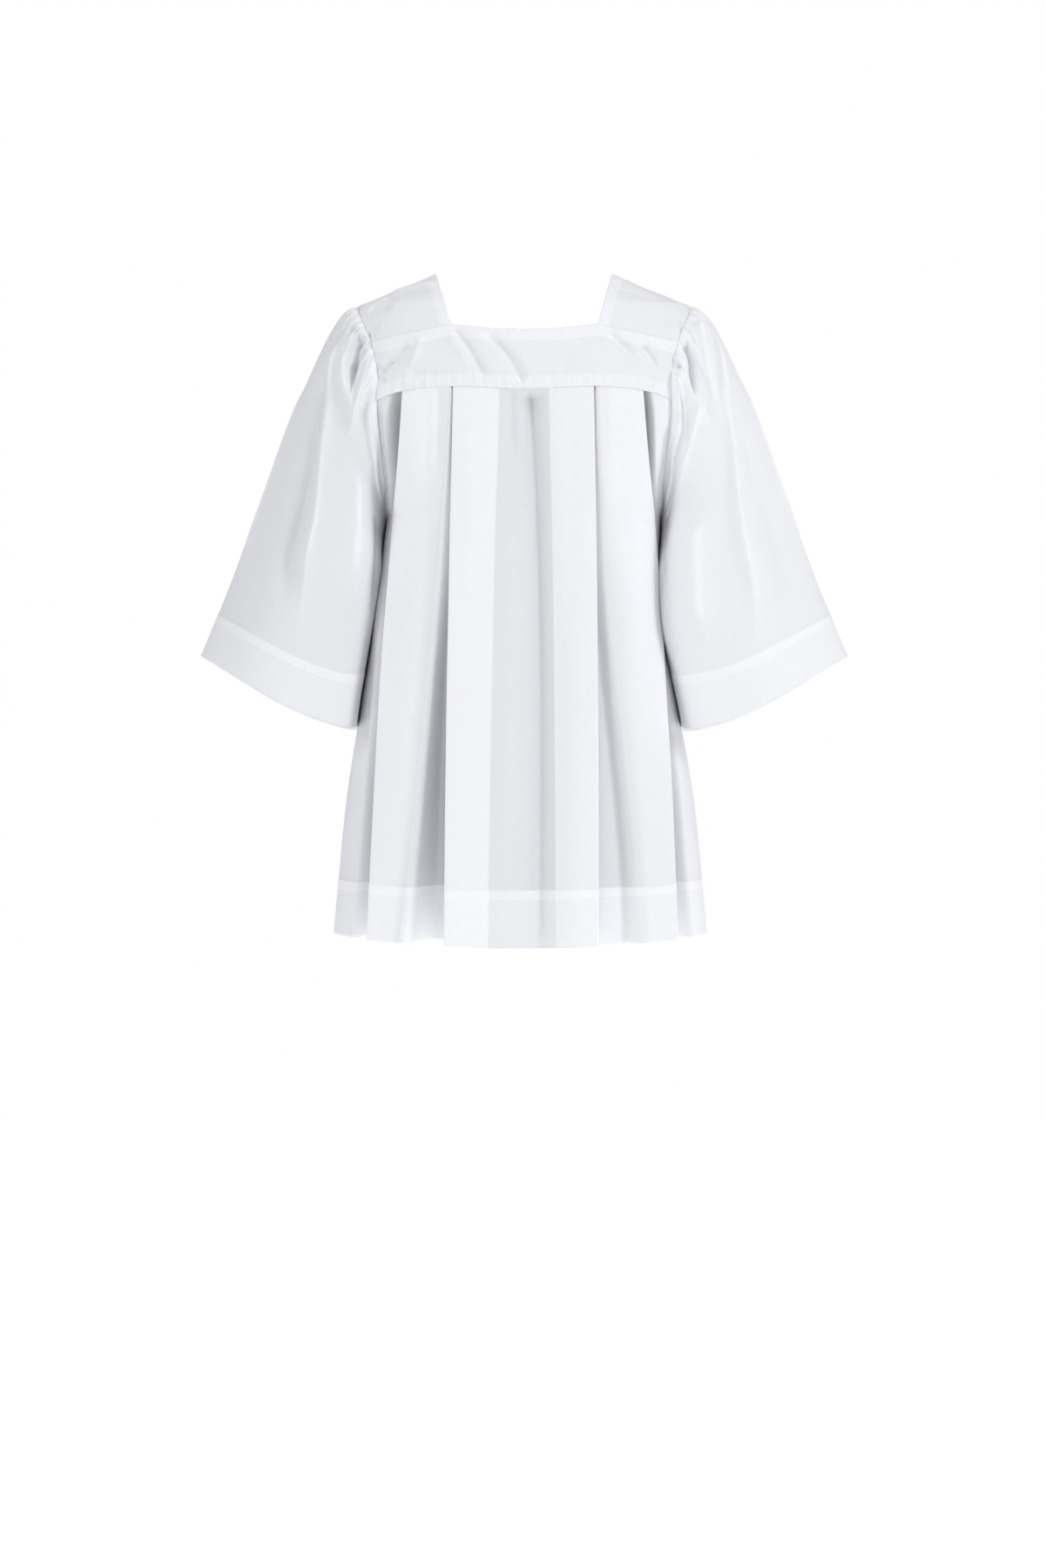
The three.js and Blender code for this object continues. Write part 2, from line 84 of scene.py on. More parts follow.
# The bands where seam allowances are turned in: their breadths, how far they stand out, and how
# many layers' worth of tone they add.
NECK_BAND, SEAM_BAND = 12, 13
NECK_STEP, SEAM_STEP = 0.25, 0.35
NECK_LAYERS, SEAM_LAYERS = 0.9, 0.6
# Painted shade and highlight on the folds: the layers' worth of tone that the cloth gains for each
# millimetre that it stands out, so that troughs are painted darker and crests lighter.
PAINTED_FOLD_SHADING = 0.06
# A yoke's rows in its three zones, and its columns beside the neck and beyond its corner.
YOKE_ROWS, YOKE_COLUMNS = (9, 26, 12), (52, 54)
# Puckers along the lower seam, as waves of (radians a millimetre, share of the height, start).
PUCKER_HEIGHT = 0.34
PUCKERS = ((0.61, 1.0, 0.0), (0.37, 0.7, 1.0), (1.13, 0.6, 2.0))
# A crease's path is followed in this many steps. It begins to rise, and ends, this share of its
# length beyond its ends.
CREASE_STEPS, CREASE_BEYOND = 24, 0.02
# Running stitches: their length, from one to the next, the thread's thickness, and the sides
# and rings of each one's mesh.
STITCH, STITCH_PITCH, THREAD = 2.5, 3.3, 0.4
STITCH_SIDES, STITCH_RINGS = 5, 3


def curve(table, column, at):
    """A smooth curve through one column of a table, against its first column: cubic pieces
    whose slope at a row is the harmonic mean of the slopes on both sides, or level at a turn."""
    x, y = table[:, 0], table[:, column]
    if x[0] > x[-1]:
        x, y = x[::-1], y[::-1]
    chord = np.diff(y) / np.diff(x)
    before, after = np.r_[chord[0], chord], np.r_[chord, chord[-1]]
    same_way = before * after > 0
    mean = 2 * before * after / np.where(same_way, before + after, 1)
    slope = np.where(same_way, mean, 0)
    i = np.clip(np.searchsorted(x, at) - 1, 0, len(x) - 2)
    span = x[i + 1] - x[i]
    t = np.clip((at - x[i]) / span, 0, 1)
    ends = y[i] * (1 + 2 * t) * (1 - t) ** 2 + y[i + 1] * t * t * (3 - 2 * t)
    return ends + span * t * (1 - t) * (slope[i] * (1 - t) - slope[i + 1] * t)


def mix(a, b, share):
    """The value that lies a share of the way from a to b."""
    return a + (b - a) * share


def smooth(value, start, end):
    """0 before start, 1 after end, and between them 3 t squared less 2 t cubed."""
    t = np.clip((value - start) / (end - start), 0, 1)
    return t * t * (3 - 2 * t)


def on_figure(x, z, side):
    """Points of the plain outline at breadth x and height z: |x/width|^n + |y/depth|^n = 1."""
    n = curve(OUTLINE, 4, z)
    depth = curve(OUTLINE, 2 if side == BACK else 3, z)
    share = np.minimum(np.abs(x) / curve(OUTLINE, 1, z), 1)
    return np.stack([x, side * depth * (1 - share**n) ** (1 / n), z], axis=-1)


def armhole(angle):
    """The right armhole's loop by angle, 0 at the shoulder tip and 180 degrees under the arm:
    z follows the cosine, y a power of the sine, and x the plain outline at that y and z."""
    sine = np.sin(angle)
    z = ARMHOLE_MIDDLE + ARMHOLE_HALF_HEIGHT * np.cos(angle)
    y = np.sign(sine) * ARMHOLE_HALF_DEPTH * np.abs(sine) ** ARMHOLE_ROUND
    n = curve(OUTLINE, 4, z)
    depth = np.where(y < 0, curve(OUTLINE, 2, z), curve(OUTLINE, 3, z))
    share = np.minimum(np.abs(y) / depth, 1)
    return np.stack([curve(OUTLINE, 1, z) * (1 - share**n) ** (1 / n), y, z], axis=-1)


def armhole_at(z, side):
    """The armhole's point at height z, at the back or the front."""
    cosine = np.clip((z - ARMHOLE_MIDDLE) / ARMHOLE_HALF_HEIGHT, -1, 1)
    return armhole(side * np.arccos(cosine))


def run_length(points, axis):
    """How far each point of a grid lies along its row (axis 1) or its column (axis 0)."""
    steps = np.linalg.norm(np.diff(points, axis=axis), axis=2)
    start = np.zeros_like(steps.take([0], axis=axis))
    return np.concatenate([start, np.cumsum(steps, axis=axis)], axis=axis)


def outwards(points, tube=False):
    """Unit normals of a grid, as the cross product of its directions down and across."""
    across = np.gradient(points, axis=1)
    if tube:
        across = (np.roll(points, -1, axis=1) - np.roll(points, 1, axis=1)) / 2
    normal = np.cross(np.gradient(points, axis=0), across)
    return normal / np.maximum(np.linalg.norm(normal, axis=2, keepdims=True), 1e-9)


def crease(u, v, path, height, width, crisp=4.0, start=0.15, end=0.35):
    """A fold along a path in the flat coordinates u, v. It is a ridge, or a trough
    where height is negative: the height falls off with the distance d from the path as
    exp(-(sqrt(d^2 + crisp^2) - crisp) / width), and swells and fades towards the path's ends."""
    path = np.array(path, float)
    knots = np.arange(len(path))
    fine = np.linspace(0, len(path) - 1, CREASE_STEPS + 1)
    slopes = np.gradient(path, axis=0) if len(path) > 2 else np.repeat(path[1:] - path[:1], 2, 0)
    i = np.clip(fine.astype(int), 0, len(path) - 2)
    t = (fine - knots[i])[:, None]
    bends = t * (1 - t) * ((slopes[i] - path[i + 1] + path[i]) * (1 - t)
                           - (slopes[i + 1] - path[i + 1] + path[i]) * t)
    line = mix(path[i], path[i + 1], t) + bends
    nearest = np.full(np.shape(u), np.inf)
    along = np.zeros(np.shape(u))
    for k, (first, last) in enumerate(zip(line[:-1], line[1:])):
        step = last - first
        share = ((u - first[0]) * step[0] + (v - first[1]) * step[1]) / (step @ step + 1e-9)
        share = np.clip(share, 0, 1)
        gap = np.hypot(u - first[0] - share * step[0], v - first[1] - share * step[1])
        along = np.where(gap < nearest, (k + share) / CREASE_STEPS, along)
        nearest = np.minimum(gap, nearest)
    profile = np.exp(-(np.sqrt(nearest**2 + crisp**2) - crisp) / width)
    rise = smooth(along, -CREASE_BEYOND, start)
    return height * profile * rise * (1 - smooth(along, 1 - end, 1 + CREASE_BEYOND))


def paint(colour):
    """An sRGB hex colour as the linear red, green, blue and opacity that a shader takes."""
    share = np.array([int(colour[at:at + 2], 16) for at in (1, 3, 5)]) / 255
    light = np.where(share <= 0.04045, share / 12.92, ((share + 0.055) / 1.055) ** 2.4)
    return (*light.tolist(), 1.0)


def add_node(material, kind, inputs=None, **settings):
    """Adds a node, sets its properties, and links or sets its inputs by name or number."""
    node = material.node_tree.nodes.new(kind)
    for name, value in settings.items():
        setattr(node, name, value)
    for name, value in (inputs or {}).items():
        if isinstance(value, bpy.types.NodeSocket):
            material.node_tree.links.new(value, node.inputs[name])
        else:
            node.inputs[name].default_value = value
    return node


# Plain-woven polyester and cotton, matt and slightly see-through: one layer is a soft grey
# white, and each layer behind it makes it whiter. Painted shade and highlight go into the same
# tone: the cloth is painted greyer in its troughs and whiter on its crests and gathers, the right
# sleeve and flank and the hem's deep parts are painted whiter as painted light, and the right
# face beside the middle is painted greyer as painted shade. The attribute "layers" holds the
# number of layers with this painted light and shade added. The threads run with the cloth, by
# its UV map in metres. The real weave has about 30 threads to the centimetre. It is drawn at 14,
# which is as fine as a picture of the whole garment can hold, with the odd thicker thread, a slub.
# A wave texture at scale s repeats every pi / (10 s).
THREAD_PITCH = 0.7
SLUB_LENGTH, SLUB_WIDTH = 9.0, 1.0
SLUB_RELIEF, TONE_POWER = 0.9, 0.6
cotton = bpy.data.materials.new("white_cotton_weave")
cotton.use_nodes = True
nodes = cotton.node_tree.nodes
nodes.clear()
uv_map = add_node(cotton, "ShaderNodeUVMap", uv_map="cloth").outputs[0]
layers = add_node(cotton, "ShaderNodeAttribute", attribute_name="layers").outputs["Fac"]
threads = []
for direction in ("X", "Y"):
    wave = add_node(cotton, "ShaderNodeTexWave", {
        "Vector": uv_map, "Scale": math.pi / 10 / (THREAD_PITCH * MM), "Distortion": 0.6,
        "Detail": 1.0, "Detail Scale": 3.0,
    }, bands_direction=direction)
    threads.append(wave.outputs["Fac"])
    stretch = (1 / (SLUB_LENGTH * MM), 1 / (SLUB_WIDTH * MM), 1.0)
    stretched = add_node(cotton, "ShaderNodeMapping", {
        "Vector": uv_map, "Scale": stretch if direction == "Y" else (stretch[1], stretch[0], 1.0),
    })
    slubs = add_node(cotton, "ShaderNodeTexNoise", {
        "Vector": stretched.outputs[0], "Scale": 1.0, "Detail": 2.0, "Roughness": 0.6,
    })
    threads.append(slubs.outputs["Fac"])
weave = add_node(cotton, "ShaderNodeMath", {0: threads[0], 1: threads[2]}, operation="MAXIMUM")
slub = add_node(cotton, "ShaderNodeMath", {0: threads[1], 1: threads[3]}, operation="ADD")
relief = add_node(cotton, "ShaderNodeMath", {
    0: slub.outputs[0], 1: SLUB_RELIEF, 2: weave.outputs[0],
}, operation="MULTIPLY_ADD")
bump = add_node(cotton, "ShaderNodeBump", {
    "Strength": 0.22, "Distance": 0.00012, "Height": relief.outputs[0],
})
added = add_node(cotton, "ShaderNodeMapRange", {
    "Value": layers, "From Min": 0.5, "From Max": 4.0, "To Min": 0.0, "To Max": 1.0,
})
whiter = add_node(
    cotton, "ShaderNodeMath", {0: added.outputs[0], 1: TONE_POWER}, operation="POWER")
tone = add_node(cotton, "ShaderNodeMix", {
    "Factor": whiter.outputs[0], 6: paint("#dbdce0"), 7: paint("#f8f9fd"),
}, data_type="RGBA")
fleck = add_node(cotton, "ShaderNodeMapRange", {
    "Value": slub.outputs[0], "From Min": 0.6, "From Max": 1.4, "To Min": 0.955, "To Max": 1.0,
})
shaded = add_node(cotton, "ShaderNodeVectorMath", {
    0: tone.outputs[2], "Scale": fleck.outputs[0],
}, operation="SCALE")
skin = add_node(cotton, "ShaderNodeBsdfPrincipled", {
    "Base Color": shaded.outputs[0], "Roughness": 0.82, "Specular IOR Level": 0.25,
    "Sheen Weight": 0.12, "Sheen Roughness": 0.5, "Normal": bump.outputs[0],
})
add_node(cotton, "ShaderNodeOutputMaterial", {"Surface": skin.outputs[0]})


def cloth(name, points, layers, tube=False):
    """A piece of cloth on a grid of points, rows by columns, in millimetres: four neighbours
    make a face. Its UV map holds the lengths along and down the cloth, in metres."""
    rows, columns = points.shape[:2]
    index = np.arange(rows * columns).reshape(rows, columns)
    closed = np.concatenate([points, points[:, :1]], axis=1) if tube else points
    if tube:
        index = np.concatenate([index, index[:, :1]], axis=1)
    unrolled = np.stack([run_length(closed, 1), run_length(closed, 0)], axis=-1) * MM
    corners = [(slice(None, -1), slice(None, -1)), (slice(1, None), slice(None, -1)),
               (slice(1, None), slice(1, None)), (slice(None, -1), slice(1, None))]
    faces = np.stack([index[corner] for corner in corners], axis=-1).reshape(-1, 4)
    laid = np.stack([unrolled[corner] for corner in corners], axis=-2).reshape(-1, 2)
    mesh = bpy.data.meshes.new(name)
    mesh.from_pydata((points.reshape(-1, 3) * MM).tolist(), [], faces.tolist())
    mesh.polygons.foreach_set("use_smooth", np.ones(len(faces), bool))
    mesh.uv_layers.new(name="cloth").data.foreach_set("uv", laid.ravel())
    spread = np.broadcast_to(layers, (rows, columns)).ravel()
    mesh.attributes.new("layers", "FLOAT", "POINT").data.foreach_set("value", spread)
    mesh.materials.append(cotton)
    piece = bpy.data.objects.new(name, mesh)
    bpy.context.scene.collection.objects.link(piece)
    wall = piece.modifiers.new("thickness", "SOLIDIFY")
    wall.thickness = CLOTH * MM
    wall.offset = 0
    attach(piece, "root")
    return piece


# Spun polyester sewing thread, dyed white: smoother than the cloth, so that it catches the light.
thread = bpy.data.materials.new("white_sewing_thread")
thread.use_nodes = True
thread.node_tree.nodes.clear()
strand = add_node(thread, "ShaderNodeBsdfPrincipled", {
    "Base Color": paint("#f6f7fa"), "Roughness": 0.6, "Sheen Weight": 0.2,
})
add_node(thread, "ShaderNodeOutputMaterial", {"Surface": strand.outputs[0]})


def sew(name, points, lines, tube=False):
    """Running stitches along lines of a piece's grid, a line being an index into it. A stitch
    is an ellipsoid along the line, half sunk in the cloth's outer face: along it by the cosine
    of the way over, and round it by the sine."""
    over = np.pi * np.arange(1, STITCH_RINGS + 1) / (STITCH_RINGS + 1)
    spin = 2 * np.pi * np.arange(STITCH_SIDES) / STITCH_SIDES
    along = np.r_[1, np.repeat(np.cos(over), STITCH_SIDES), -1] * STITCH / 2
    out = np.r_[0, np.outer(np.sin(over), np.cos(spin)).ravel(), 0] * THREAD / 2
    aside = np.r_[0, np.outer(np.sin(over), np.sin(spin)).ravel(), 0] * THREAD / 2
    normals = outwards(points, tube)
    stitches = []
    for line in lines:
        path, face = points[line], normals[line]
        if tube:
            path, face = np.concatenate([path, path[:1]]), np.concatenate([face, face[:1]])
        length = np.r_[0, np.cumsum(np.linalg.norm(np.diff(path, axis=0), axis=1))]
        middle = np.arange(STITCH_PITCH, length[-1] - STITCH_PITCH / 2, STITCH_PITCH)
        places, up, ahead, behind = (
            np.stack([np.interp(at, length, values[:, k]) for k in range(3)], axis=-1)
            for at, values in ((middle, path), (middle, face), (middle + STITCH / 2, path),
                               (middle - STITCH / 2, path)))
        up /= np.linalg.norm(up, axis=-1, keepdims=True)
        run = ahead - behind
        run /= np.maximum(np.linalg.norm(run, axis=-1, keepdims=True), 1e-9)
        across = np.cross(up, run)
        places = places + up * CLOTH / 2
        stitches.append(places[:, None] + run[:, None] * along[:, None]
                        + up[:, None] * out[:, None] + across[:, None] * aside[:, None])
    stitches = np.concatenate(stitches)
    ring = 1 + np.arange(STITCH_SIDES)
    nearby = np.roll(ring, -1)
    last = len(along) - 1
    last_ring = last - STITCH_SIDES - 1
    caps = np.concatenate([
        np.stack([0 * ring, ring, nearby], axis=-1),
        np.stack([last + 0 * ring, last_ring + nearby, last_ring + ring], axis=-1)])
    bands = np.concatenate([
        np.stack([k + ring, k + STITCH_SIDES + ring, k + STITCH_SIDES + nearby, k + nearby], axis=-1)
        for k in STITCH_SIDES * np.arange(STITCH_RINGS - 1)])
    start = len(along) * np.arange(len(stitches))[:, None, None]
    faces = (start + caps).reshape(-1, 3).tolist() + (start + bands).reshape(-1, 4).tolist()
    mesh = bpy.data.meshes.new(name)
    mesh.from_pydata((stitches.reshape(-1, 3) * MM).tolist(), [], faces)
    mesh.polygons.foreach_set("use_smooth", np.ones(len(faces), bool))
    mesh.materials.append(thread)
    seam = bpy.data.objects.new(name, mesh)
    bpy.context.scene.collection.objects.link(seam)
    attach(seam, "root")


def yoke(side, creases):
    """A yoke by share across, -1 to 1 between the armholes, and by v down it: 0 to 1 is the
    band at the neck edge, 1 to 2 the doubled cloth, and 2 to 3 the band over the lower seam.
    Each column runs on the figure from the neck edge or strap seam to the lower seam."""
    panel = PANELS[side]
    corner = panel["neck"] / armhole_at(np.array(panel["strap"]), side)[0]
    beside, beyond = YOKE_COLUMNS
    half = np.r_[np.linspace(0, corner, beside), np.linspace(corner, 1, beyond)[1:]]
    share = np.r_[-half[:0:-1], half][None, :]
    zones = [np.linspace(start, end, count)
             for start, end, count in zip((0, 1.02, 2), (1, 1.98, 3), YOKE_ROWS)]
    v = np.concatenate(zones)[:, None]
    top = np.where(
        np.abs(share) <= corner,
        mix(panel["middle"], panel["corner"], (share / corner) ** 2),
        mix(panel["corner"], panel["strap"], (np.abs(share) - corner) / (1 - corner)),
    )
    bottom = mix(panel["seam"], panel["side"], np.abs(share) ** YOKE_BEND)
    bottom = bottom + SEAM_LIFT * np.sin(np.pi * share) ** 2
    z = np.where(v < 1, top - NECK_BAND * v, np.where(
        v < 2, mix(top - NECK_BAND, bottom + SEAM_BAND, v - 1), bottom + SEAM_BAND * (3 - v)))
    down = (top - z) / (top - bottom)
    edge = armhole_at(mix(panel["strap"], panel["side"], down), side)[..., 0]
    points = on_figure(share * edge, z, side)
    x = points[..., 0]
    # The band over the lower seam puckers a little at every gather of its stitching.
    wander = sum(height * np.sin(x * pitch + start) for pitch, height, start in PUCKERS)
    pucker = PUCKER_HEIGHT * wander * smooth(v, 1.7, 2.4) * (1 - 0.5 * smooth(v, 2.6, 3.0))
    relief = SEAM_STEP * smooth(v, 2, 2.1) + NECK_STEP * (1 - smooth(v, 0.9, 1.0)) + pucker
    for path, height, width, *ends in creases:
        relief = relief + crease(x, z, path, height, width, 2.0, *ends)
    if side == FRONT:
        points, relief = points[:, ::-1], relief[:, ::-1]
    points = points + outwards(points) * relief[..., None]
    bands = (v <= 1) * NECK_LAYERS + (v >= 2) * SEAM_LAYERS
    # Troughs are painted darker and crests lighter, as painted shade and highlight.
    return points, DOUBLED + bands + PAINTED_FOLD_SHADING * relief


# Small creases as (path in x and z, height, width), some with the shares of the path in which
# they rise and fade. They start at the neck's corners and at the armholes, where the cloth pulls.
YOKE_CREASES = {
    BACK: [
        ([(-72, -47), (-58, -66), (-40, -98)], -4.2, 3.2, 0.1, 0.1),
        ([(-78, -50), (-66, -72), (-52, -94)], 2.2, 3.6),
        ([(-42, -50), (-20, -70), (-1, -104)], -4.4, 4.4, 0.2, 0.08),
        ([(-30, -56), (-6, -74), (10, -98)], 1.8, 5.0),
        ([(87, -50), (103, -64), (118, -80)], -4.1, 3.0),
        ([(78, -54), (94, -72), (108, -92)], 2.5, 3.4),
        ([(120, -62), (131, -74), (140, -90)], -4.1, 2.5),
        ([(-116, -60), (-133, -80), (-147, -104)], -3.6, 3.6, 0.15, 0.1),
        ([(-134, -76), (-144, -86), (-148, -96)], -3.8, 2.0),
        ([(-104, -54), (-111, -70), (-118, -88)], 2.5, 2.9),
        ([(-120, -92), (-96, -95), (-70, -92)], -1.7, 4.2),
        ([(62, -58), (46, -78), (36, -100)], -1.6, 5.1),
    ],
    FRONT: [
        ([(-72, -80), (-50, -98), (-34, -120)], -2.2, 4.2),
        ([(-82, -84), (-66, -104), (-56, -124)], 1.4, 4.4),
        ([(74, -82), (60, -100), (52, -122)], -1.9, 3.8),
        ([(-122, -92), (-132, -106), (-138, -122)], -1.8, 3.0),
        ([(126, -94), (134, -110), (140, -126)], -2.0, 3.0),
        ([(102, -92), (114, -108), (124, -124)], 1.3, 4.2),
        ([(-20, -92), (0, -108), (24, -124)], -1.0, 6.1),
    ],
}
for side, name in ((BACK, "yoke_back"), (FRONT, "yoke_front")):
    points, layers = yoke(side, YOKE_CREASES[side])
    piece = cloth(name + "_cloth", points, layers)
    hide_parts(name)
    sew(name + "_stitches", points, [np.s_[1], np.s_[-2]])

# The shoulder straps
# A short doubled strap goes over each shoulder from the back yoke to the front yoke. Its inner
# edge is the side of the square neck, with the same turned-in band, and its ends are sewn under
# the yokes' upper edges.
NECK_TOP, SHOULDER_TIP = 17, -17
END_TUCK, TUCK_DEPTH = 2.5, 0.3
STRAP_BAND = 0.13
# A strap's columns in the band and in the rest, and its rows over the shoulder.
STRAP_COLUMNS, STRAP_ROWS = (9, 50), 111


def strap(hand, creases):
    """A strap by breadth across, 0 at the neck to 1 at the armhole, and by travel over the
    shoulder, -1 at the back yoke to 1 at the front. It falls with 1 - cos(travel), and its ends
    go in under the yokes."""
    in_band, beyond = STRAP_COLUMNS
    band = np.linspace(0, STRAP_BAND, in_band)
    breadth = np.r_[band, np.linspace(STRAP_BAND + 0.01, 1, beyond)][None, :]
    travel = np.sin(np.linspace(-1, 1, STRAP_ROWS) * np.pi / 2)[:, None]
    travel = np.sign(travel) * (1 - np.arccos(np.abs(travel)) / (np.pi / 2))
    side = np.where(travel < 0, BACK, FRONT)
    fall = 1 - np.cos(np.abs(travel) * np.pi / 2)
    points = np.zeros((len(travel), breadth.shape[1], 3))
    for this_side in (BACK, FRONT):
        panel = PANELS[this_side]
        neck_z = mix(NECK_TOP, panel["corner"] - END_TUCK, fall)
        neck_x = mix(curve(OUTLINE, 1, np.array(NECK_TOP)), panel["neck"], fall)
        arm = armhole_at(mix(SHOULDER_TIP, panel["strap"] - END_TUCK, fall), this_side)
        ridge = mix(NECK_TOP, SHOULDER_TIP, breadth)
        ends = curve(OUTLINE, 1, np.array([NECK_TOP, SHOULDER_TIP]))
        bow = (curve(OUTLINE, 1, ridge) - mix(ends[0], ends[1], breadth)) * (1 - fall) ** 2
        x = mix(neck_x, arm[..., 0], breadth) + bow
        z = mix(neck_z, arm[..., 2], breadth)
        reach = curve(OUTLINE, 1, z)
        here = on_figure(np.minimum(x, reach), z, this_side)
        here[..., 1] = np.where(np.abs(travel) < 1e-6, 0, here[..., 1])
        points = np.where((side == this_side)[..., None], here, points)
    relief = NECK_STEP * (1 - smooth(breadth, STRAP_BAND - 0.01, STRAP_BAND + 0.01)) + 0 * travel
    # Flat coordinates of the creases: x across, and the length over the shoulder from the ridge.
    over = run_length(points, 0) - run_length(points, 0)[len(travel) // 2]
    for path, height, width in creases:
        relief = relief + crease(points[..., 0], over, path, height, width)
    end = np.abs(over[[0, -1]]).min(axis=0)
    tucked = smooth(np.abs(over), end - 2 * END_TUCK, end - 0.6 * END_TUCK)
    relief = relief - TUCK_DEPTH * tucked
    # Troughs are painted darker and crests lighter, as painted shade and highlight.
    layers = DOUBLED + NECK_LAYERS * (breadth <= STRAP_BAND) + PAINTED_FOLD_SHADING * relief
    points[..., 0] *= hand
    if hand > 0:
        points, relief, layers = points[:, ::-1], relief[:, ::-1], layers[:, ::-1]
    return points + outwards(points) * relief[..., None], layers


# Creases as (path in the distance from the middle and the length over the shoulder, negative
# at the back), height and width.
STRAP_CREASES = {
    -1: [
        ([(150, -36), (122, -44), (88, -62)], -3.8, 3.2),
        ([(140, -26), (112, -36), (84, -50)], 2.8, 3.6),
        ([(161, -44), (148, -54), (134, -62)], -3.0, 2.6),
        ([(163, -68), (156, -72), (150, -76)], -2.6, 2.2),
        ([(108, -18), (98, -32), (88, -46)], -1.8, 3.6),
        ([(150, 40), (122, 50), (90, 66)], -2.1, 2.9),
        ([(160, 66), (146, 78), (130, 88)], -1.5, 2.7),
    ],
    1: [
        ([(112, -6), (126, -14), (144, -20)], -2.4, 2.6),
        ([(92, -60), (112, -52), (138, -50)], -2.0, 3.6),
        ([(165, -58), (152, -66), (138, -78)], -2.6, 2.6),
        ([(88, -44), (98, -34), (110, -18)], 1.5, 4.0),
        ([(88, 62), (116, 52), (148, 44)], -2.0, 2.9),
        ([(166, 58), (154, 74), (142, 90)], -1.7, 2.3),
    ],
}
for hand, name in ((-1, "strap_left"), (1, "strap_right")):
    points, layers = strap(hand, STRAP_CREASES[hand])
    piece = cloth(name + "_cloth", points, layers)
    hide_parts(name)
    sew(name + "_stitches", points, [np.s_[:, 1] if hand < 0 else np.s_[:, -2]])

# The pleated body panels
# The back and the front are single cloth, each laid in four knife pleats that turn outwards.
# Every pleat is three layers where it is sewn under the yoke, and opens towards the hem, which
# is turned up 56 mm and stitched along its upper edge.
UNDERARM, HEM_MIDDLE, HEM_SIDE, HEM_BEND = -240, -681, -669, 2
BODY_HEM, HEM_TURN = 56, 9
SEAM_GAP, TOP_TUCK, BAND_STEP = 0.4, 3.0, 0.4
# Stitching runs this far below a hem's upper edge.
EDGE_STITCH = 1.5
# What each turned-up layer adds to the cloth's thickness and to its tone. The stitched edge,
# where three layers meet, stands out in full, and the rest of the hem by half as much.
HEM_RISE, HEM_LAYERS = 0.3, 0.75
# Painted light: layers' worth of tone that the hem gains for each millimetre of depth, down to a
# limit, so that its deep parts are painted whiter against the shade in them.
HEM_PAINTED_LIGHT, HEM_DEEPEST = 0.1, 25
# Under layers hang shorter than the face, by this share of their depth.
UNDER_LIFT = 0.085
# Points across a row's plain outline. Along the cloth's course: in the covered and the open part
# of the middle, round a fold, down and up a returning layer, back to the face, and in the faces.
TURNS = 181
UNDER_STEPS, OPEN_STEPS, FOLD_STEPS, LAP_STEPS = 12, 20, 9, 9
CLIMB_STEPS, RAMP_STEPS, FACE_STEPS = (8, 5), 23, 25
# Half the breadth in which the tone changes where a layer ends behind, and the share of the
# fall in which the outer pleat comes away from the layers behind it.
TONE_EDGE = 0.6
PARTING = (0.12, 0.45)
# By height, half the width of each half below the arm, and then its inner and outer fold lines.
HALF_WIDTH = {
    -1: np.array([(-240, 139.5), (-300, 146.5), (-351, 155.5), (-403, 165), (-450, 173),
                  (-544, 187), (-681, 199)]),
    1: np.array([(-240, 139), (-300, 138.5), (-351, 141.5), (-403, 152.5), (-450, 162.8),
                 (-544, 178.5), (-681, 191)]),
}
FOLDS = {
    -1: np.array([(-111, 72.8, 125.5), (-173, 74.2, 129.2), (-230, 75.6, 131.8),
                  (-327, 77.3, 137.8), (-422, 79, 144.4), (-535, 80.4, 150.4),
                  (-681, 81.5, 156.7)]),
    1: np.array([(-111, 71.2, 122.3), (-173, 72.4, 127), (-250, 73.6, 132.2),
                 (-327, 74.4, 137), (-422, 75.1, 142), (-535, 75.6, 148.5),
                 (-681, 75.6, 153.5)]),
}
# How the pleats open, by the share fallen from yoke to hem: the inner and outer pleat's lap,
# how far beyond each fold the cloth is back at the face, the depths of their lowest layers, how
# far the outer fold stands out, the folds' radius, and the share of the way from the fold back
# to the face that stays deep.
PLEATS = {
    -1: np.array([
        (0, 47.5, 36, 4, 17, 3.6, 9, 0, 0.9, 0), (0.03, 47.5, 36, 4, 20, 4, 26, 0, 0.9, 0),
        (0.1, 47.5, 36, 5, 19, 4.5, 34, 1, 1.1, 0.1), (0.2, 47, 36, 9, 15, 5, 24, 3, 1.2, 0),
        (0.3, 46.5, 36.5, 13, 14, 7, 10, 4, 1.3, 0), (0.55, 46, 38, 22, 20, 24, 10, 6, 1.6, 0.35),
        (0.75, 45.5, 39, 31, 25, 40, 18, 6.5, 1.8, 0.5), (0.9, 45, 40, 41, 29, 46, 24, 7, 1.9, 0.5),
        (1, 45, 40, 48, 31, 44, 26, 7, 1.9, 0.45)]),
    1: np.array([
        (0, 46, 36, 4, 11, 3.6, 8, 0, 0.9, 0), (0.03, 46, 36, 4, 12, 4, 20, 0, 0.9, 0),
        (0.1, 46, 36, 5, 11, 4, 27, 1, 1.1, 0), (0.2, 45.5, 36, 8, 11, 4.5, 18, 3, 1.2, 0),
        (0.3, 45, 36.5, 11, 13, 5.5, 7, 3.5, 1.3, 0), (0.5, 44.5, 38, 20, 17, 11, 7, 4.5, 1.5, 0.25),
        (0.68, 44, 39, 31, 21, 12, 12, 5.2, 1.6, 0.5), (0.86, 43.5, 40, 42, 26, 14, 18, 5.6, 1.8, 0.62),
        (1, 43, 40, 47, 29, 14, 24, 6, 1.9, 0.6)]),
}
# How many layers show in the inner fold's face and in the flank under the arm. The right face is
# painted greyer than its three layers, as painted shade, and the right flank whiter than its single
# layer, as painted light.
FACE_LAYERS_AND_PAINTED_SHADE = {-1: 3.0, 1: 2.5}
FLANK_LAYERS_AND_PAINTED_LIGHT = {-1: 1.0, 1: 2.2}


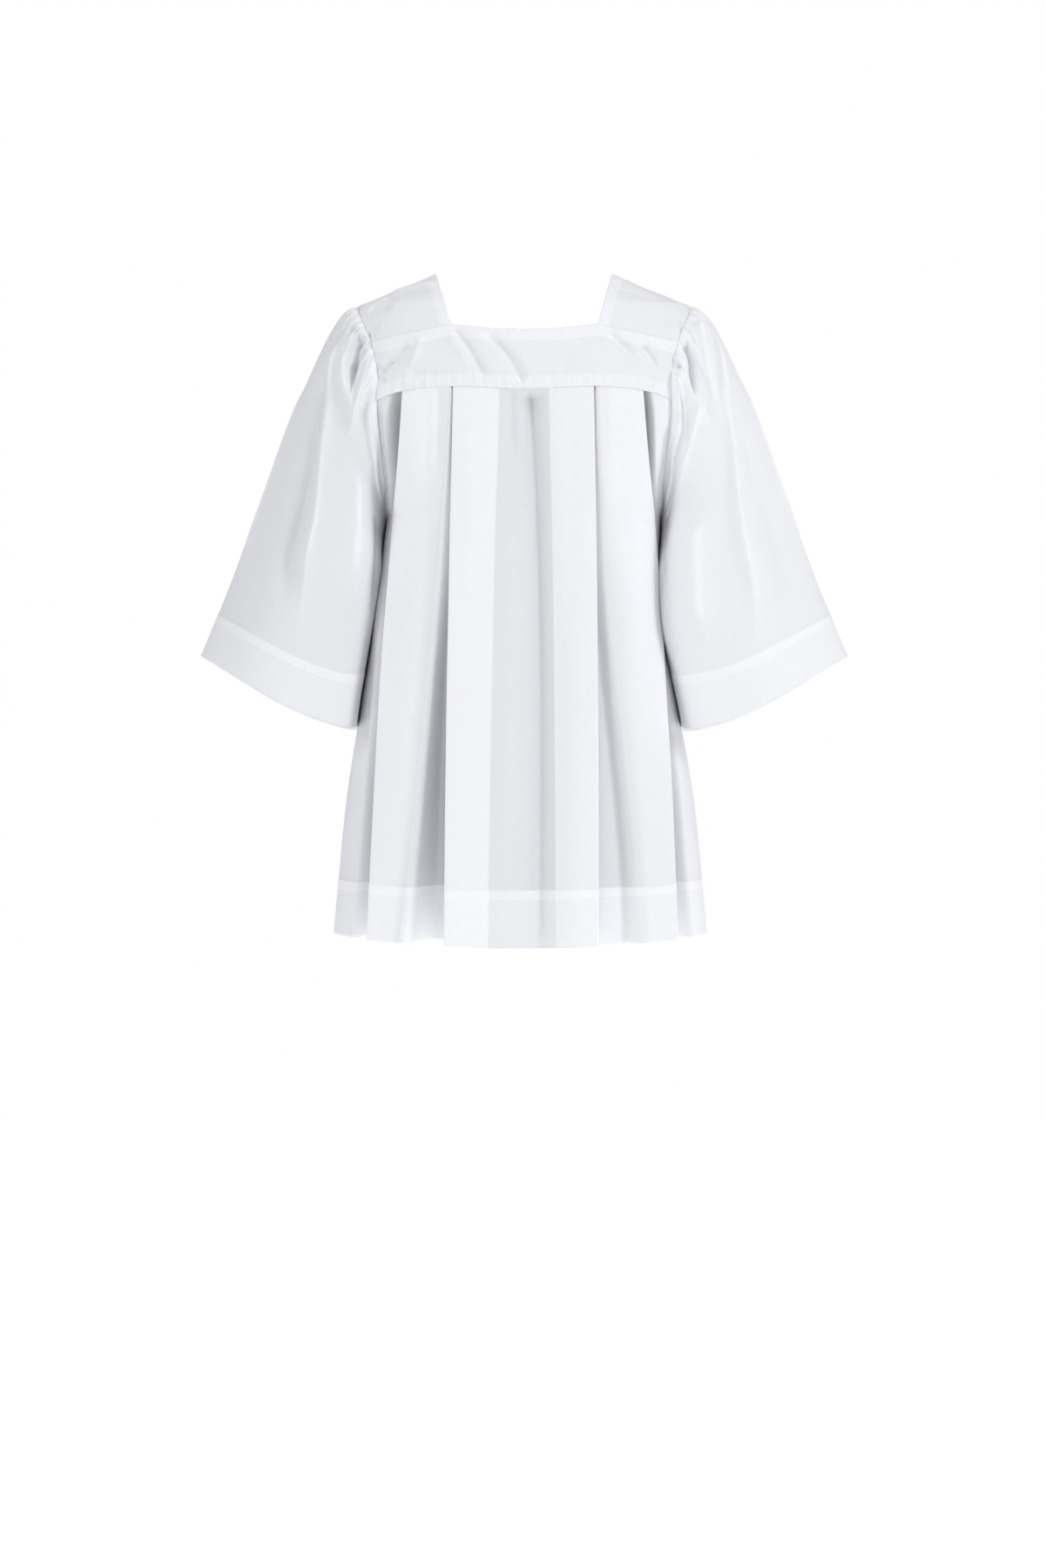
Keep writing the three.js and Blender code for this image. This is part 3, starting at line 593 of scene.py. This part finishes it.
def outline_turns(side, hand, middle_z, side_z, bend):
    """Each row's outline by turn, 0 in the middle and a right angle at the side seam: the polar
    form of |x/width|^n + |y/depth|^n = 1. The height falls from the middle to the side as a
    power of the breadth. Gives turns, points and lengths along the cloth, rows by turns."""
    above = side_z > UNDERARM
    edge = armhole_at(np.maximum(side_z, UNDERARM), side)
    edge_x = np.where(above, edge[:, 0], half_width(side_z, hand))
    last = np.where(above, np.arctan2(edge[:, 0], np.abs(edge[:, 1])), np.pi / 2)
    turn = last[:, None] * np.linspace(0, 1, TURNS)
    depth_column = 2 if side == BACK else 3

    def flat(z):
        n = curve(OUTLINE, 4, z)
        across = np.sin(turn) / half_width(z, hand)
        along = np.abs(np.cos(turn)) / curve(OUTLINE, depth_column, z)
        radius = (across**n + along**n) ** (-1 / n)
        return radius * np.sin(turn), radius * np.cos(turn)

    def height(x):
        share = x / edge_x[:, None]
        lift = SEAM_LIFT * np.sin(np.pi * share) ** 2 * (1 - smooth(-side_z, 120, 220))[:, None]
        return mix(middle_z[:, None], side_z[:, None], share ** bend[:, None]) + lift

    rough, _ = flat(np.repeat(middle_z[:, None], turn.shape[1], axis=1))
    x, y = flat(height(rough))
    points = np.stack([x, side * y, height(x)], axis=-1)
    return turn, points, run_length(points, 1)


def half_width(z, hand):
    """Half the garment's width at a height: the plain outline down to the underarm, and that
    half's own side line below it."""
    below = curve(HALF_WIDTH[hand], 1, z)
    return np.where(z > UNDERARM, curve(OUTLINE, 1, z), below)


def half_course(side, hand, fall, fold_in, fold_out, total):
    """The course of the cloth from the middle to the side, as lengths along the outline, depths
    under it and numbers of layers. Folds are half circles of the pleat's radius, the layer that
    returns runs straight, and the one that comes back up follows deep (1 - smoothstep)."""
    lap_in, lap_out, ramp_in, ramp_out, deep_in, deep_out, stand, radius, floor = (
        curve(PLEATS[hand], column, fall)[:, None] for column in range(1, 10))
    fold_in, fold_out, total = fold_in[:, None], fold_out[:, None], total[:, None]
    one = np.ones_like(fold_in)
    lengths, depths, counts = [], [], []

    def lay(length, depth, count):
        length, depth = np.broadcast_arrays(length, depth)
        lengths.append(length)
        depths.append(depth)
        counts.append(np.broadcast_to(count, length.shape))

    def pleat(fold, face, lap, ramp, deep):
        inner, outer = fold - lap + radius, fold - radius
        turn = np.linspace(0, np.pi, FOLD_STEPS)[None, 1:-1]
        lay(outer + radius * np.sin(turn), face + radius * (1 - np.cos(turn)), TRIPLED)
        share = np.linspace(1, 0, LAP_STEPS)[None, :]
        lay(mix(inner, outer, share), mix(deep - 2 * radius, face + 2 * radius, share), TRIPLED)
        lay(inner - radius * np.sin(turn), deep - radius * (1 + np.cos(turn)), TRIPLED)
        start = mix(outer, fold + ramp, floor)
        coarse, fine = CLIMB_STEPS
        share = np.r_[np.linspace(0, 0.8, coarse), np.linspace(0.84, 1, fine)][None, :]
        length = mix(inner, outer, share)
        lay(length, deep * (1 - smooth(length, start, fold + ramp)), TRIPLED)
        length = mix(outer, fold + ramp, np.linspace(0, 1, RAMP_STEPS)[None, 1:])
        lay(length, deep * (1 - smooth(length, start, fold + ramp)), SINGLE)

    under = fold_in - lap_in
    share = np.linspace(0, 1, UNDER_STEPS)[None, :]
    lay(mix(0 * one, under - TONE_EDGE, share), 0 * one, SINGLE)
    # The right face is painted greyer than its three layers, as painted shade.
    face_tone_with_shade = FACE_LAYERS_AND_PAINTED_SHADE[hand]
    share = np.linspace(0, 1, OPEN_STEPS)[None, :]
    lay(mix(under + TONE_EDGE, fold_in - radius, share), 0 * one, face_tone_with_shade)
    pleat(fold_in, 0 * one, lap_in, ramp_in, deep_in)
    face = fold_in + ramp_in
    share = np.linspace(0, 1, FACE_STEPS)[None, 1:]
    opened = smooth(fall, *PARTING)[:, None]
    beside, over_lap = mix(DOUBLED, SINGLE, opened), mix(TRIPLED, face_tone_with_shade - 0.5, opened)
    lay(mix(face, fold_out - radius, share), -stand * share**2,
        mix(beside, over_lap, smooth(share, 0, 0.3)))
    pleat(fold_out, -stand, lap_out, ramp_out, deep_out)
    flank = fold_out + ramp_out
    share = np.linspace(0, 1, FACE_STEPS)[None, 1:]
    # The right flank is painted whiter than its single layer, as painted light.
    lay(mix(flank, total - SEAM_GAP / 2, share), 0 * one, FLANK_LAYERS_AND_PAINTED_LIGHT[hand])
    return tuple(np.concatenate(parts, axis=1) for parts in (lengths, depths, counts))


def body_levels(panel):
    """Heights at the side of the rows, from the tuck under the yoke to the hem's edge. Rows lie
    close together at both edges of the stitched turn at the top of the hem."""
    top = panel["side"] - SEAM_GAP
    hem_top = HEM_SIDE + BODY_HEM
    return np.r_[
        top + TOP_TUCK, top + 0.5 * TOP_TUCK, top,
        mix(top, UNDERARM, np.linspace(0, 1, 26)[1:]),
        mix(UNDERARM, hem_top + BAND_STEP, np.linspace(0, 1, 58)[1:]),
        mix(hem_top - BAND_STEP, hem_top - HEM_TURN + BAND_STEP, np.linspace(0, 1, 7)),
        mix(hem_top - HEM_TURN - BAND_STEP, HEM_SIDE, np.linspace(0, 1, 20)),
    ]


def body_half(side, hand, creases):
    """One half of a body panel: the course laid on each row's outline, moved inwards along the
    outline's normal by its depth less the creases."""
    panel = PANELS[side]
    level = body_levels(panel)
    top = panel["side"] - SEAM_GAP
    fall = (top - level) / (top - HEM_SIDE)
    open_by = np.clip(fall, 0, 1)
    middle_z = mix(panel["seam"] - SEAM_GAP, HEM_MIDDLE, fall)
    bend = mix(YOKE_BEND, HEM_BEND, open_by)
    turn, points, along = outline_turns(side, hand, middle_z, level, bend)
    rows = range(len(level))
    fold_z = np.minimum(middle_z, -111)
    fold_x = [curve(FOLDS[hand], column, fold_z) for column in (1, 2)]
    folds = [np.array([np.interp(x[r], points[r, :, 0], along[r]) for r in rows]) for x in fold_x]
    length, depth, layers = half_course(side, hand, open_by, *folds, along[:, -1])
    at_turn = np.stack([np.interp(length[r], along[r], turn[r]) for r in rows])
    places = [np.stack([np.interp(at_turn[r], turn[r], points[r, :, k]) for r in rows])
              for k in range(3)]
    x, y, z = places
    n = curve(OUTLINE, 4, z)
    width = half_width(z, hand)
    reach = curve(OUTLINE, 2 if side == BACK else 3, z)
    inwards = np.stack([-(x / width) ** (n - 1) / width,
                        -side * (np.abs(y) / reach) ** (n - 1) / reach, 0 * x], axis=-1)
    inwards /= np.linalg.norm(inwards, axis=-1, keepdims=True)
    relief = 0 * x
    for path, height, wide, *ends in creases:
        relief = relief + crease(x * hand, z, path, height, wide, *ends)
    # The creases leave the seams as they are.
    to_edge = along[:, -1:] - length
    relief = relief * smooth(to_edge, 0, 7) * smooth(top - level, 0, 6)[:, None]
    # The panel comes out from under the yoke's lower edge.
    tucked = TUCK_DEPTH * (1 - smooth(top - level, -1.0, 5.0))[:, None]
    hem_top = HEM_SIDE + BODY_HEM
    turned = np.where(level < hem_top - HEM_TURN, 0.5, 1.0) * (level < hem_top)
    turned = turned[:, None]
    points = np.stack([x, y, z], axis=-1)
    points = points + inwards * (depth - relief + tucked - HEM_RISE * turned)[..., None]
    points[..., 2] += UNDER_LIFT * depth.clip(0) * open_by[:, None] ** 2
    points[..., 0] *= hand
    hem_tone_and_painted_light = HEM_LAYERS * (turned > 0) + HEM_LAYERS * (turned == 1)
    # The hem is painted whiter where it lies deep, as painted light over the shade in its troughs.
    hem_tone_and_painted_light = hem_tone_and_painted_light + (turned > 0) * HEM_PAINTED_LIGHT * depth.clip(0, HEM_DEEPEST)
    # Troughs are painted darker and crests lighter, as painted shade and highlight.
    return points, layers + hem_tone_and_painted_light + PAINTED_FOLD_SHADING * relief


# Soft folds and short streaks as (path in x and z, height, width), some with how rounded their
# crest is and the shares of the path in which they rise and fade.
BODY_CREASES = {
    BACK: [
        ([(-11, -111), (-12, -145), (-10, -185)], -2.6, 2.6, 1.5, 0.02),
        ([(-5, -111), (-4, -140), (-5, -170)], 1.4, 3.0, 2.0, 0.02),
        ([(6, -112), (9, -160), (13, -240), (16, -420), (16, -690)], -12.0, 10.5, 3.0, 0.04, 0.03),
        ([(34, -220), (35, -400), (34, -560), (34, -690)], -6.0, 13.0, 8.0, 0.4, 0.05),
        ([(-16, -230), (-14, -360), (-18, -520), (-22, -681)], 1.8, 9.0),
        ([(3, -200), (2, -330), (4, -480), (2, -640)], 1.2, 7.0),
        ([(-55, -118), (-56, -200), (-52, -330)], 1.2, 9.0),
        ([(48, -120), (50, -220), (47, -360)], -1.4, 9.0),
        ([(-88, -111), (-88, -150), (-90, -210)], -3.0, 3.5, 2.0, 0.02),
        ([(-100, -112), (-101, -180), (-104, -300)], -2.4, 8.0),
        ([(84, -111), (85, -150), (88, -200)], -2.4, 3.5, 2.0, 0.02),
        ([(97, -112), (99, -190), (103, -310)], -2.0, 8.0),
        ([(-112, -240), (-118, -400), (-124, -560)], 0.6, 9.0),
        ([(108, -220), (114, -380), (121, -560)], 1.2, 9.0),
        ([(-139, -200), (-146, -300), (-155, -430)], 4.0, 3.5),
        ([(140, -200), (146, -300), (154, -440)], 3.5, 3.5),
        ([(-168, -420), (-174, -540), (-180, -681)], -2.5, 9.0),
        ([(164, -420), (170, -540), (176, -681)], -2.2, 9.0),
    ],
    FRONT: [
        ([(-14, -144), (-15, -190), (-12, -240)], -1.3, 3.2),
        ([(8, -144), (9, -180), (7, -220)], -1.1, 3.2),
        ([(-20, -150), (-22, -260), (-19, -430), (-21, -650)], -3.8, 8.0),
        ([(14, -220), (16, -380), (13, -540), (16, -681)], 2.0, 9.0),
        ([(-52, -146), (-54, -240), (-50, -380)], 0.9, 9.0),
        ([(56, -150), (54, -250), (57, -400)], -0.9, 9.0),
        ([(-104, -150), (-107, -240), (-112, -380)], -1.5, 9.0),
        ([(102, -150), (104, -230), (109, -350)], -1.4, 9.0),
        ([(-142, -220), (-148, -320), (-157, -450)], 3.5, 3.6),
        ([(141, -220), (147, -320), (156, -450)], 3.8, 3.6),
        ([(-170, -430), (-176, -560), (-182, -681)], -2.2, 9.0),
        ([(167, -400), (173, -540), (179, -681)], -2.6, 9.0),
    ],
}
for side, name in ((BACK, "body_back"), (FRONT, "body_front")):
    left, left_layers = body_half(side, -1, BODY_CREASES[side])
    right, right_layers = body_half(side, 1, BODY_CREASES[side])
    points = np.concatenate([left[:, :0:-1], right], axis=1)
    layers = np.concatenate([left_layers[:, :0:-1], right_layers], axis=1)
    if side == FRONT:
        points, layers = points[:, ::-1], layers[:, ::-1]
    piece = cloth(name + "_cloth", points, layers)
    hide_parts(name)
    from_edge = HEM_SIDE + BODY_HEM - EDGE_STITCH - body_levels(PANELS[side])
    sew(name + "_stitches", points, [np.abs(from_edge).argmin()])

# The bell sleeves
# Each sleeve is one piece of single cloth, closed under the arm. Its head is gathered into the
# armhole, which throws folds down the arm, and its wide hem is turned up 55 mm.
# By the share run from the armhole to the hem: the ridge over the arm, the line under it, half
# the depth from back to front, and how far the lower edge sags.
SLEEVE = {
    -1: np.array([
        (0, 173, -17, 139.5, -240, 76, 0), (0.03, 184.5, -22, 142.5, -244, 79, 0),
        (0.08, 199, -39.5, 144.5, -253, 83, 1), (0.16, 215.5, -71.5, 147, -270, 87, 2),
        (0.3, 240, -130, 150, -300, 93, 5), (0.5, 269, -210, 157, -345, 102, 9),
        (0.75, 304, -301, 166.5, -400, 111, 10.5), (1, 337, -381, 175.3, -455, 120, 11.5)]),
    1: np.array([
        (0, 173, -17, 139.5, -240, 76, 0), (0.03, 184.5, -22, 141.5, -244, 79, 0),
        (0.08, 199, -39.5, 141.5, -253, 83, 1), (0.16, 215.5, -71.5, 141, -270, 87, 2),
        (0.3, 240, -130, 140, -300, 93, 5), (0.5, 269, -210, 142.5, -345, 102, 9),
        (0.75, 304, -301, 153.3, -400, 111, 12), (1, 337, -381, 165, -455, 120, 14.2)]),
}
# The cloth's length along the ridge and under the arm, the hem's depth and its turned-in edge.
SLEEVE_LENGTH, UNDER_LENGTH, SLEEVE_HEM, SLEEVE_TURN = 405, 218, 55, 9.5
# The sag follows a power of the sine round the sleeve, and this much more in the lower half.
SAG_POWER, SAG_LEAN = 1.5, 0.8
# The lower half hangs flatter than an ellipse, down to the fold under the arm, and leans in to
# follow the body.
UNDER_ROUND, UNDER_LEAN = 0.3, 7
# The share of the run in which the sleeve leaves the armhole's own shape.
ARMHOLE_SHARE = 0.3
# The sleeve is one layer. The right sleeve is painted whiter than that, as painted light from the
# right.
SLEEVE_LAYERS_AND_PAINTED_LIGHT = {-1: 1.0, 1: 2.2}
# Rows in the gathered head, down the arm, over the stitched edge and down the hem.
HEAD_ROWS, ARM_ROWS, TURN_ROWS, HEM_ROWS = 25, 46, 5, 12
# Degrees from one column to the next, over the gathered head and under the arm.
HEAD_TURN, HEAD_PITCH, UNDER_PITCH = 88, 0.5, 1.6
# Tone of the seam allowances inside the armhole, in layers.
ARMHOLE_LAYERS = 1.2
# Painted highlight: the layers' worth of tone gained along a fold's crest, and for each millimetre of a
# fine gather.
CREST_PAINTED_HIGHLIGHT, CREST_HIGHLIGHT_POWER, GATHER_PAINTED_HIGHLIGHT = 1.6, 8, 0.3
GAP_SHOULDER, GAP_UNDERARM = 0.1, 1.0
# Gathers lean away from the ridge by these degrees in this share of the run. Over the shoulder's
# own line they keep this share of their height, and longer folds lose that one.
GATHER_LEAN, LEAN_RUN = (20, 60), 0.2
RIDGE_GATHERS, RIDGE_FOLDS = 0.35, 0.6
# Gathers as (spread to each side of the ridge in degrees, least and most pitch and half width in
# degrees, reach as a share of the run, and height): short fine ones over longer folds.
GATHERS = [
    (66, (2.0, 3.4), (0.5, 0.75), (0.03, 0.07), (1.8, 3.4)),
    (74, (5.5, 9.0), (1.2, 2.0), (0.07, 0.15), (2.0, 3.6)),
]


def sleeve(hand, creases, seed):
    """A sleeve by angle round it, 0 along the ridge and positive to the back, and by the share
    run to the hem. Its plain form has x and z follow the cosine, and y a power of the sine. At
    the head it blends into the armhole's loop. Gathers and folds stand on it."""
    table = SLEEVE[hand]
    angle = np.r_[np.arange(-HEAD_TURN, HEAD_TURN, HEAD_PITCH),
                  np.arange(HEAD_TURN, 360 - HEAD_TURN, UNDER_PITCH)]
    angle = np.where(angle >= 180, angle - 360, angle)
    round_it = np.radians(-angle)
    cosine, sine = np.cos(round_it), np.sin(round_it)
    fall = mix(SLEEVE_LENGTH, UNDER_LENGTH, (1 - cosine) / 2)
    hem, turn_end = 1 - SLEEVE_HEM / fall, 1 - (SLEEVE_HEM - SLEEVE_TURN) / fall
    step = BAND_STEP / fall
    run = np.concatenate([
        np.r_[0, 0.004, 0.009, np.linspace(0.016, 0.15, HEAD_ROWS - 3)][:, None] + 0 * fall,
        np.linspace(0.16 + 0 * fall, hem - step, ARM_ROWS),
        np.linspace(hem + step, turn_end - step, TURN_ROWS),
        np.linspace(turn_end + step, 1 + 0 * fall, HEM_ROWS),
    ])

    def plain(share):
        ridge_x, ridge_z, under_x, under_z, depth, sag = (
            curve(table, column, share) for column in range(1, 7))
        x = mix(under_x, ridge_x, (1 + cosine) / 2)
        flatness = smooth(share, 0, ARMHOLE_SHARE) * smooth(-cosine, -0.2, 0.9)
        reach = np.abs(sine) ** mix(ARMHOLE_ROUND, UNDER_ROUND, flatness)
        x = x - UNDER_LEAN * flatness * reach**2
        y = np.sign(sine) * depth * reach
        z = mix(under_z, ridge_z, (1 + cosine) / 2)
        z = z - sag * np.abs(sine) ** SAG_POWER * (1 - SAG_LEAN * cosine)
        return np.stack(np.broadcast_arrays(x, y, z), axis=-1)

    points = plain(run)
    seam = armhole(round_it) - plain(np.zeros((1, 1)))[0]
    near = 1 - smooth(run, 0, ARMHOLE_SHARE)
    points = points + seam * near[..., None]
    shares = np.linspace(0, 1, 25)
    loops = plain(shares[:, None])
    girth = run_length(np.concatenate([loops, loops[:, :1]], axis=1), 1)[:, -1]
    u = angle * np.interp(run, shares, girth) / 360
    v = run * SLEEVE_LENGTH
    relief, painted_crests = 0 * u, 0 * u
    for path, height, width, crisp, *ends in creases:
        path = np.array(path, float)
        scale = np.interp(path[:, 1], shares, girth) / 360
        flat_path = np.stack([path[:, 0] * scale, path[:, 1] * SLEEVE_LENGTH], axis=-1)
        fold = crease(u, v, flat_path, height, width, crisp, *(ends or (0.12, 0.4)))
        relief = relief + fold
        # A painted highlight along the crest of each ridge.
        painted_crests = np.maximum(painted_crests, CREST_PAINTED_HIGHLIGHT * (fold / height) ** CREST_HIGHLIGHT_POWER * (height > 0))
    # The shoulder's own line stays smooth.
    on_ridge = (1 - smooth(np.abs(angle), 4, 28)) * (1 - smooth(run, 0.1, 0.4))
    relief = relief * (1 - RIDGE_FOLDS * on_ridge)
    # Gathers of uneven height, width and length. They lean down the sleeve, and stay low over
    # the shoulder.
    random = np.random.default_rng(seed)
    for spread, pitch, widths, reaches, heights in GATHERS:
        centre = -spread
        while centre < spread:
            wide, reach = random.uniform(*widths), random.uniform(*reaches)
            off_ridge = smooth(abs(centre), 4, 26)
            height = random.uniform(*heights) * mix(RIDGE_GATHERS, 1, off_ridge)
            lean = random.uniform(*GATHER_LEAN) * centre / spread
            away = (angle - centre - lean * run / LEAN_RUN) / wide
            fade = smooth(run, 0.001, 0.01) * (1 - smooth(run, 0.25 * reach, reach))
            gather = height * np.exp(-(away**2)) * fade
            relief = relief + gather
            # Each gather's crest gets a painted highlight too.
            painted_crests = painted_crests + GATHER_PAINTED_HIGHLIGHT * gather
            centre += random.uniform(*pitch)
    middle = np.stack([
        (curve(table, 1, run) + curve(table, 3, run)) / 2, 0 * run,
        (curve(table, 2, run) + curve(table, 4, run)) / 2,
    ], axis=-1)
    away = points - middle
    away /= np.linalg.norm(away, axis=-1, keepdims=True)
    turned = np.where(run > turn_end, 0.5, 1.0) * (run > hem)
    points = points + away * (relief + HEM_RISE * turned)[..., None]
    gap = mix(GAP_UNDERARM, GAP_SHOULDER, (1 + cosine) / 2)
    points[..., 0] += gap * near
    # The first rows go in under the armhole's edge.
    inside = np.array([-1.2, -0.5, 0.0])
    points[:3, :, 0] += inside[:, None]
    centre_line = np.array([0, 0, ARMHOLE_MIDDLE])
    squeeze = np.array([0.004, 0.002, 0.0])[:, None, None]
    points[:3] += (centre_line - points[:3]) * squeeze * np.array([0, 1, 1])
    edge = (run > hem) & (run < turn_end)
    # The right sleeve's extra tone is painted light.
    layers = SLEEVE_LAYERS_AND_PAINTED_LIGHT[hand] + HEM_LAYERS * (run > hem) + HEM_LAYERS * edge
    seam_layers = ARMHOLE_LAYERS * (1 - smooth(run, 0.012, 0.02))
    # Troughs are painted darker and crests lighter, as painted shade and highlight, on top of the
    # crests' own painted highlight.
    layers = layers + seam_layers + PAINTED_FOLD_SHADING * relief + painted_crests
    points[..., 0] *= hand
    # Columns run left to right as seen from outside.
    if hand > 0:
        points, layers = points[:, ::-1], layers[:, ::-1]
    return points, layers


# Folds as (path in degrees from the ridge, positive to the back, and share run), height, width,
# how rounded the crest is, and for some the shares of the path in which they rise and fade. The
# back ones come first.
SLEEVE_CREASES = {
    1: [
        ([(20, 0.05), (27, 0.09), (43, 0.175), (56, 0.24), (70, 0.41), (77, 0.625), (87, 0.8)],
         13, 10.5, 0.9, 0.3, 0.25),
        ([(32, 0.03), (51, 0.11), (63, 0.205)], 8, 6, 0.9),
        ([(66, 0.135), (98, 0.12), (124, 0.14)], 6, 8.5, 4.2),
        ([(92, 0.03), (122, 0.035), (150, 0.05)], 8, 6, 3.0),
        ([(66, 0.025), (84, 0.025), (102, 0.025)], 6, 5.1, 2.8),
        ([(50, 0.012), (54, 0.04), (63, 0.065), (72, 0.1)], -13, 4.4, 1.2),
        ([(140, 0.1), (147, 0.235), (161, 0.48)], -7.5, 13.6, 7.0),
        ([(40, 0.3), (52, 0.5), (60, 0.75)], -6, 11.9, 6.3),
        ([(102, 0.3), (112, 0.5), (118, 0.75)], 5.2, 13.6, 7.0),
        ([(8, 0.2), (14, 0.45), (20, 0.8)], 4.5, 11.9, 6.3),
        ([(-22, 0.05), (-30, 0.1), (-48, 0.2), (-66, 0.38), (-78, 0.62), (-88, 0.82)],
         12, 12.8, 1.7, 0.3, 0.4),
        ([(-38, 0.03), (-54, 0.1), (-66, 0.19)], 7.5, 6.8, 1.7),
        ([(-68, 0.03), (-90, 0.06), (-112, 0.12)], 6, 6.8, 2.8),
        ([(-58, 0.045), (-68, 0.07), (-75, 0.1)], -7.5, 4.2, 1.4),
        ([(-44, 0.28), (-56, 0.5), (-64, 0.78)], -6, 11.9, 6.3),
        ([(-136, 0.1), (-146, 0.25), (-158, 0.5)], -6, 13.6, 7.0),
    ],
    -1: [
        ([(24, 0.05), (39, 0.12), (59, 0.205), (72, 0.3), (80, 0.405), (82, 0.505), (91, 0.74)],
         8.5, 9.5, 0.9, 0.2, 0.2),
        ([(36, 0.155), (61, 0.32), (68, 0.54), (76, 0.72)], -9, 11, 5.6),
        ([(38, 0.025), (50, 0.095), (65, 0.115), (95, 0.095)], 7.5, 6.8, 2.1),
        ([(46, 0.01), (49, 0.035), (58, 0.065), (70, 0.105)], -15, 4.6, 1.2),
        ([(62, 0.012), (70, 0.04), (78, 0.09), (84, 0.17)], 7, 6, 3.0),
        ([(84, 0.02), (112, 0.03), (150, 0.045)], 8, 6, 3.0),
        ([(36, 0.022), (42, 0.06), (50, 0.1)], -6, 3.8, 1.4),
        ([(26, 0.06), (35, 0.12)], -6, 4.2, 1.8),
        ([(104, 0.14), (116, 0.3), (122, 0.55)], 6, 13.6, 7.0),
        ([(140, 0.12), (150, 0.3), (160, 0.5)], -7.5, 12.8, 6.3),
        ([(8, 0.22), (16, 0.5), (24, 0.85)], 4.5, 12.8, 6.3),
        ([(-26, 0.05), (-40, 0.13), (-58, 0.24), (-74, 0.42), (-82, 0.6), (-92, 0.8)], 12, 12.8, 1.5),
        ([(-36, 0.03), (-52, 0.1), (-70, 0.15)], 7.5, 6.8, 2.1),
        ([(-52, 0.04), (-62, 0.065), (-70, 0.09)], -9, 4.2, 1.4),
        ([(-62, 0.02), (-90, 0.03), (-118, 0.05)], 5.2, 6, 2.1),
        ([(-36, 0.2), (-52, 0.42), (-62, 0.7)], -6.8, 11.9, 6.3),
        ([(-138, 0.12), (-148, 0.3), (-160, 0.52)], -6, 13.6, 7.0),
    ],
}
for hand, name, seed in ((-1, "sleeve_left", 11), (1, "sleeve_right", 23)):
    points, layers = sleeve(hand, SLEEVE_CREASES[hand], seed)
    piece = cloth(name + "_cloth", points, layers, tube=True)
    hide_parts(name)
    sew(name + "_stitches", points, [HEAD_ROWS + ARM_ROWS + 1], tube=True)

# The studio
# A plain white floor and an even white surround, with a large softbox on each side, the right
# one stronger, and one high overhead. The camera looks level along +Y, 5 m behind the garment.
FLOOR_Z, FLOOR_REACH = -1.324, 6
WHITE = "#ffffff"
# The floor glows a little, so that it is white up to the horizon. The surround is white to the
# camera and much dimmer to the garment, so that its folds keep their shadows.
FLOOR_GLOW, SURROUND_SEEN, SURROUND_FELT = 0.72, 1.0, 0.2
floor_corners = [(x * FLOOR_REACH, y * FLOOR_REACH, FLOOR_Z)
                 for x, y in ((-1, -1), (1, -1), (1, 1), (-1, 1))]
floor_mesh = bpy.data.meshes.new("floor")
floor_mesh.from_pydata(floor_corners, [], [(0, 1, 2, 3)])
floor = bpy.data.objects.new("floor", floor_mesh)
bpy.context.scene.collection.objects.link(floor)
pale = bpy.data.materials.new("white_studio_floor")
pale.use_nodes = True
pale.node_tree.nodes.clear()
surface = add_node(pale, "ShaderNodeBsdfPrincipled", {
    "Base Color": paint(WHITE), "Roughness": 0.9, "Emission Color": paint(WHITE),
    "Emission Strength": FLOOR_GLOW,
})
add_node(pale, "ShaderNodeOutputMaterial", {"Surface": surface.outputs[0]})
floor_mesh.materials.append(pale)

world = bpy.data.worlds.new("white_surround")
world.use_nodes = True
world.node_tree.nodes.clear()
seen = add_node(world, "ShaderNodeLightPath").outputs["Is Camera Ray"]
brightness = add_node(world, "ShaderNodeMapRange", {
    "Value": seen, "To Min": SURROUND_FELT, "To Max": SURROUND_SEEN,
})
surround = add_node(world, "ShaderNodeBackground", {
    "Color": paint(WHITE), "Strength": brightness.outputs[0],
})
add_node(world, "ShaderNodeOutputWorld", {"Surface": surround.outputs[0]})
bpy.context.scene.world = world

# Softboxes as (name, place, power in watts, width in metres, colour), turned to the garment.
TARGET = np.array([0, 0, -0.35])
for name, place, power, size, colour in (
    ("right_softbox", (4.4, -2.4, 2.0), 99, 1.4, (1.0, 0.992, 1.0)),
    ("left_softbox", (-4.4, -2.2, 1.6), 65, 1.6, (1.0, 1.0, 0.99)),
    ("top_softbox", (0.3, -1.4, 4.3), 90, 2.0, (1.0, 1.0, 1.0)),
):
    softbox = bpy.data.lights.new(name, "AREA")
    softbox.shape = "DISK"
    softbox.size = size
    softbox.energy = power
    softbox.color = colour
    lamp = bpy.data.objects.new(name, softbox)
    aim = TARGET - np.array(place)
    lamp.location = place
    lamp.rotation_euler = (math.acos(-aim[2] / np.linalg.norm(aim)), 0, math.atan2(-aim[0], aim[1]))
    bpy.context.scene.collection.objects.link(lamp)

# A long lens, in millimetres on a 36 mm wide frame, and the camera's place in metres.
FOCAL_LENGTH, FRAME_WIDTH, FAR_LIMIT = 109.9, 36, 50
CAMERA_PLACE = (-0.0018, -5.0, -0.5146)
lens = bpy.data.cameras.new("camera")
lens.sensor_width = FRAME_WIDTH
lens.lens = FOCAL_LENGTH
lens.clip_end = FAR_LIMIT
camera = bpy.data.objects.new("camera", lens)
camera.location = CAMERA_PLACE
camera.rotation_euler = (math.radians(90), 0, 0)
bpy.context.scene.collection.objects.link(camera)
bpy.context.scene.camera = camera
bpy.context.scene.view_settings.view_transform = "Standard"
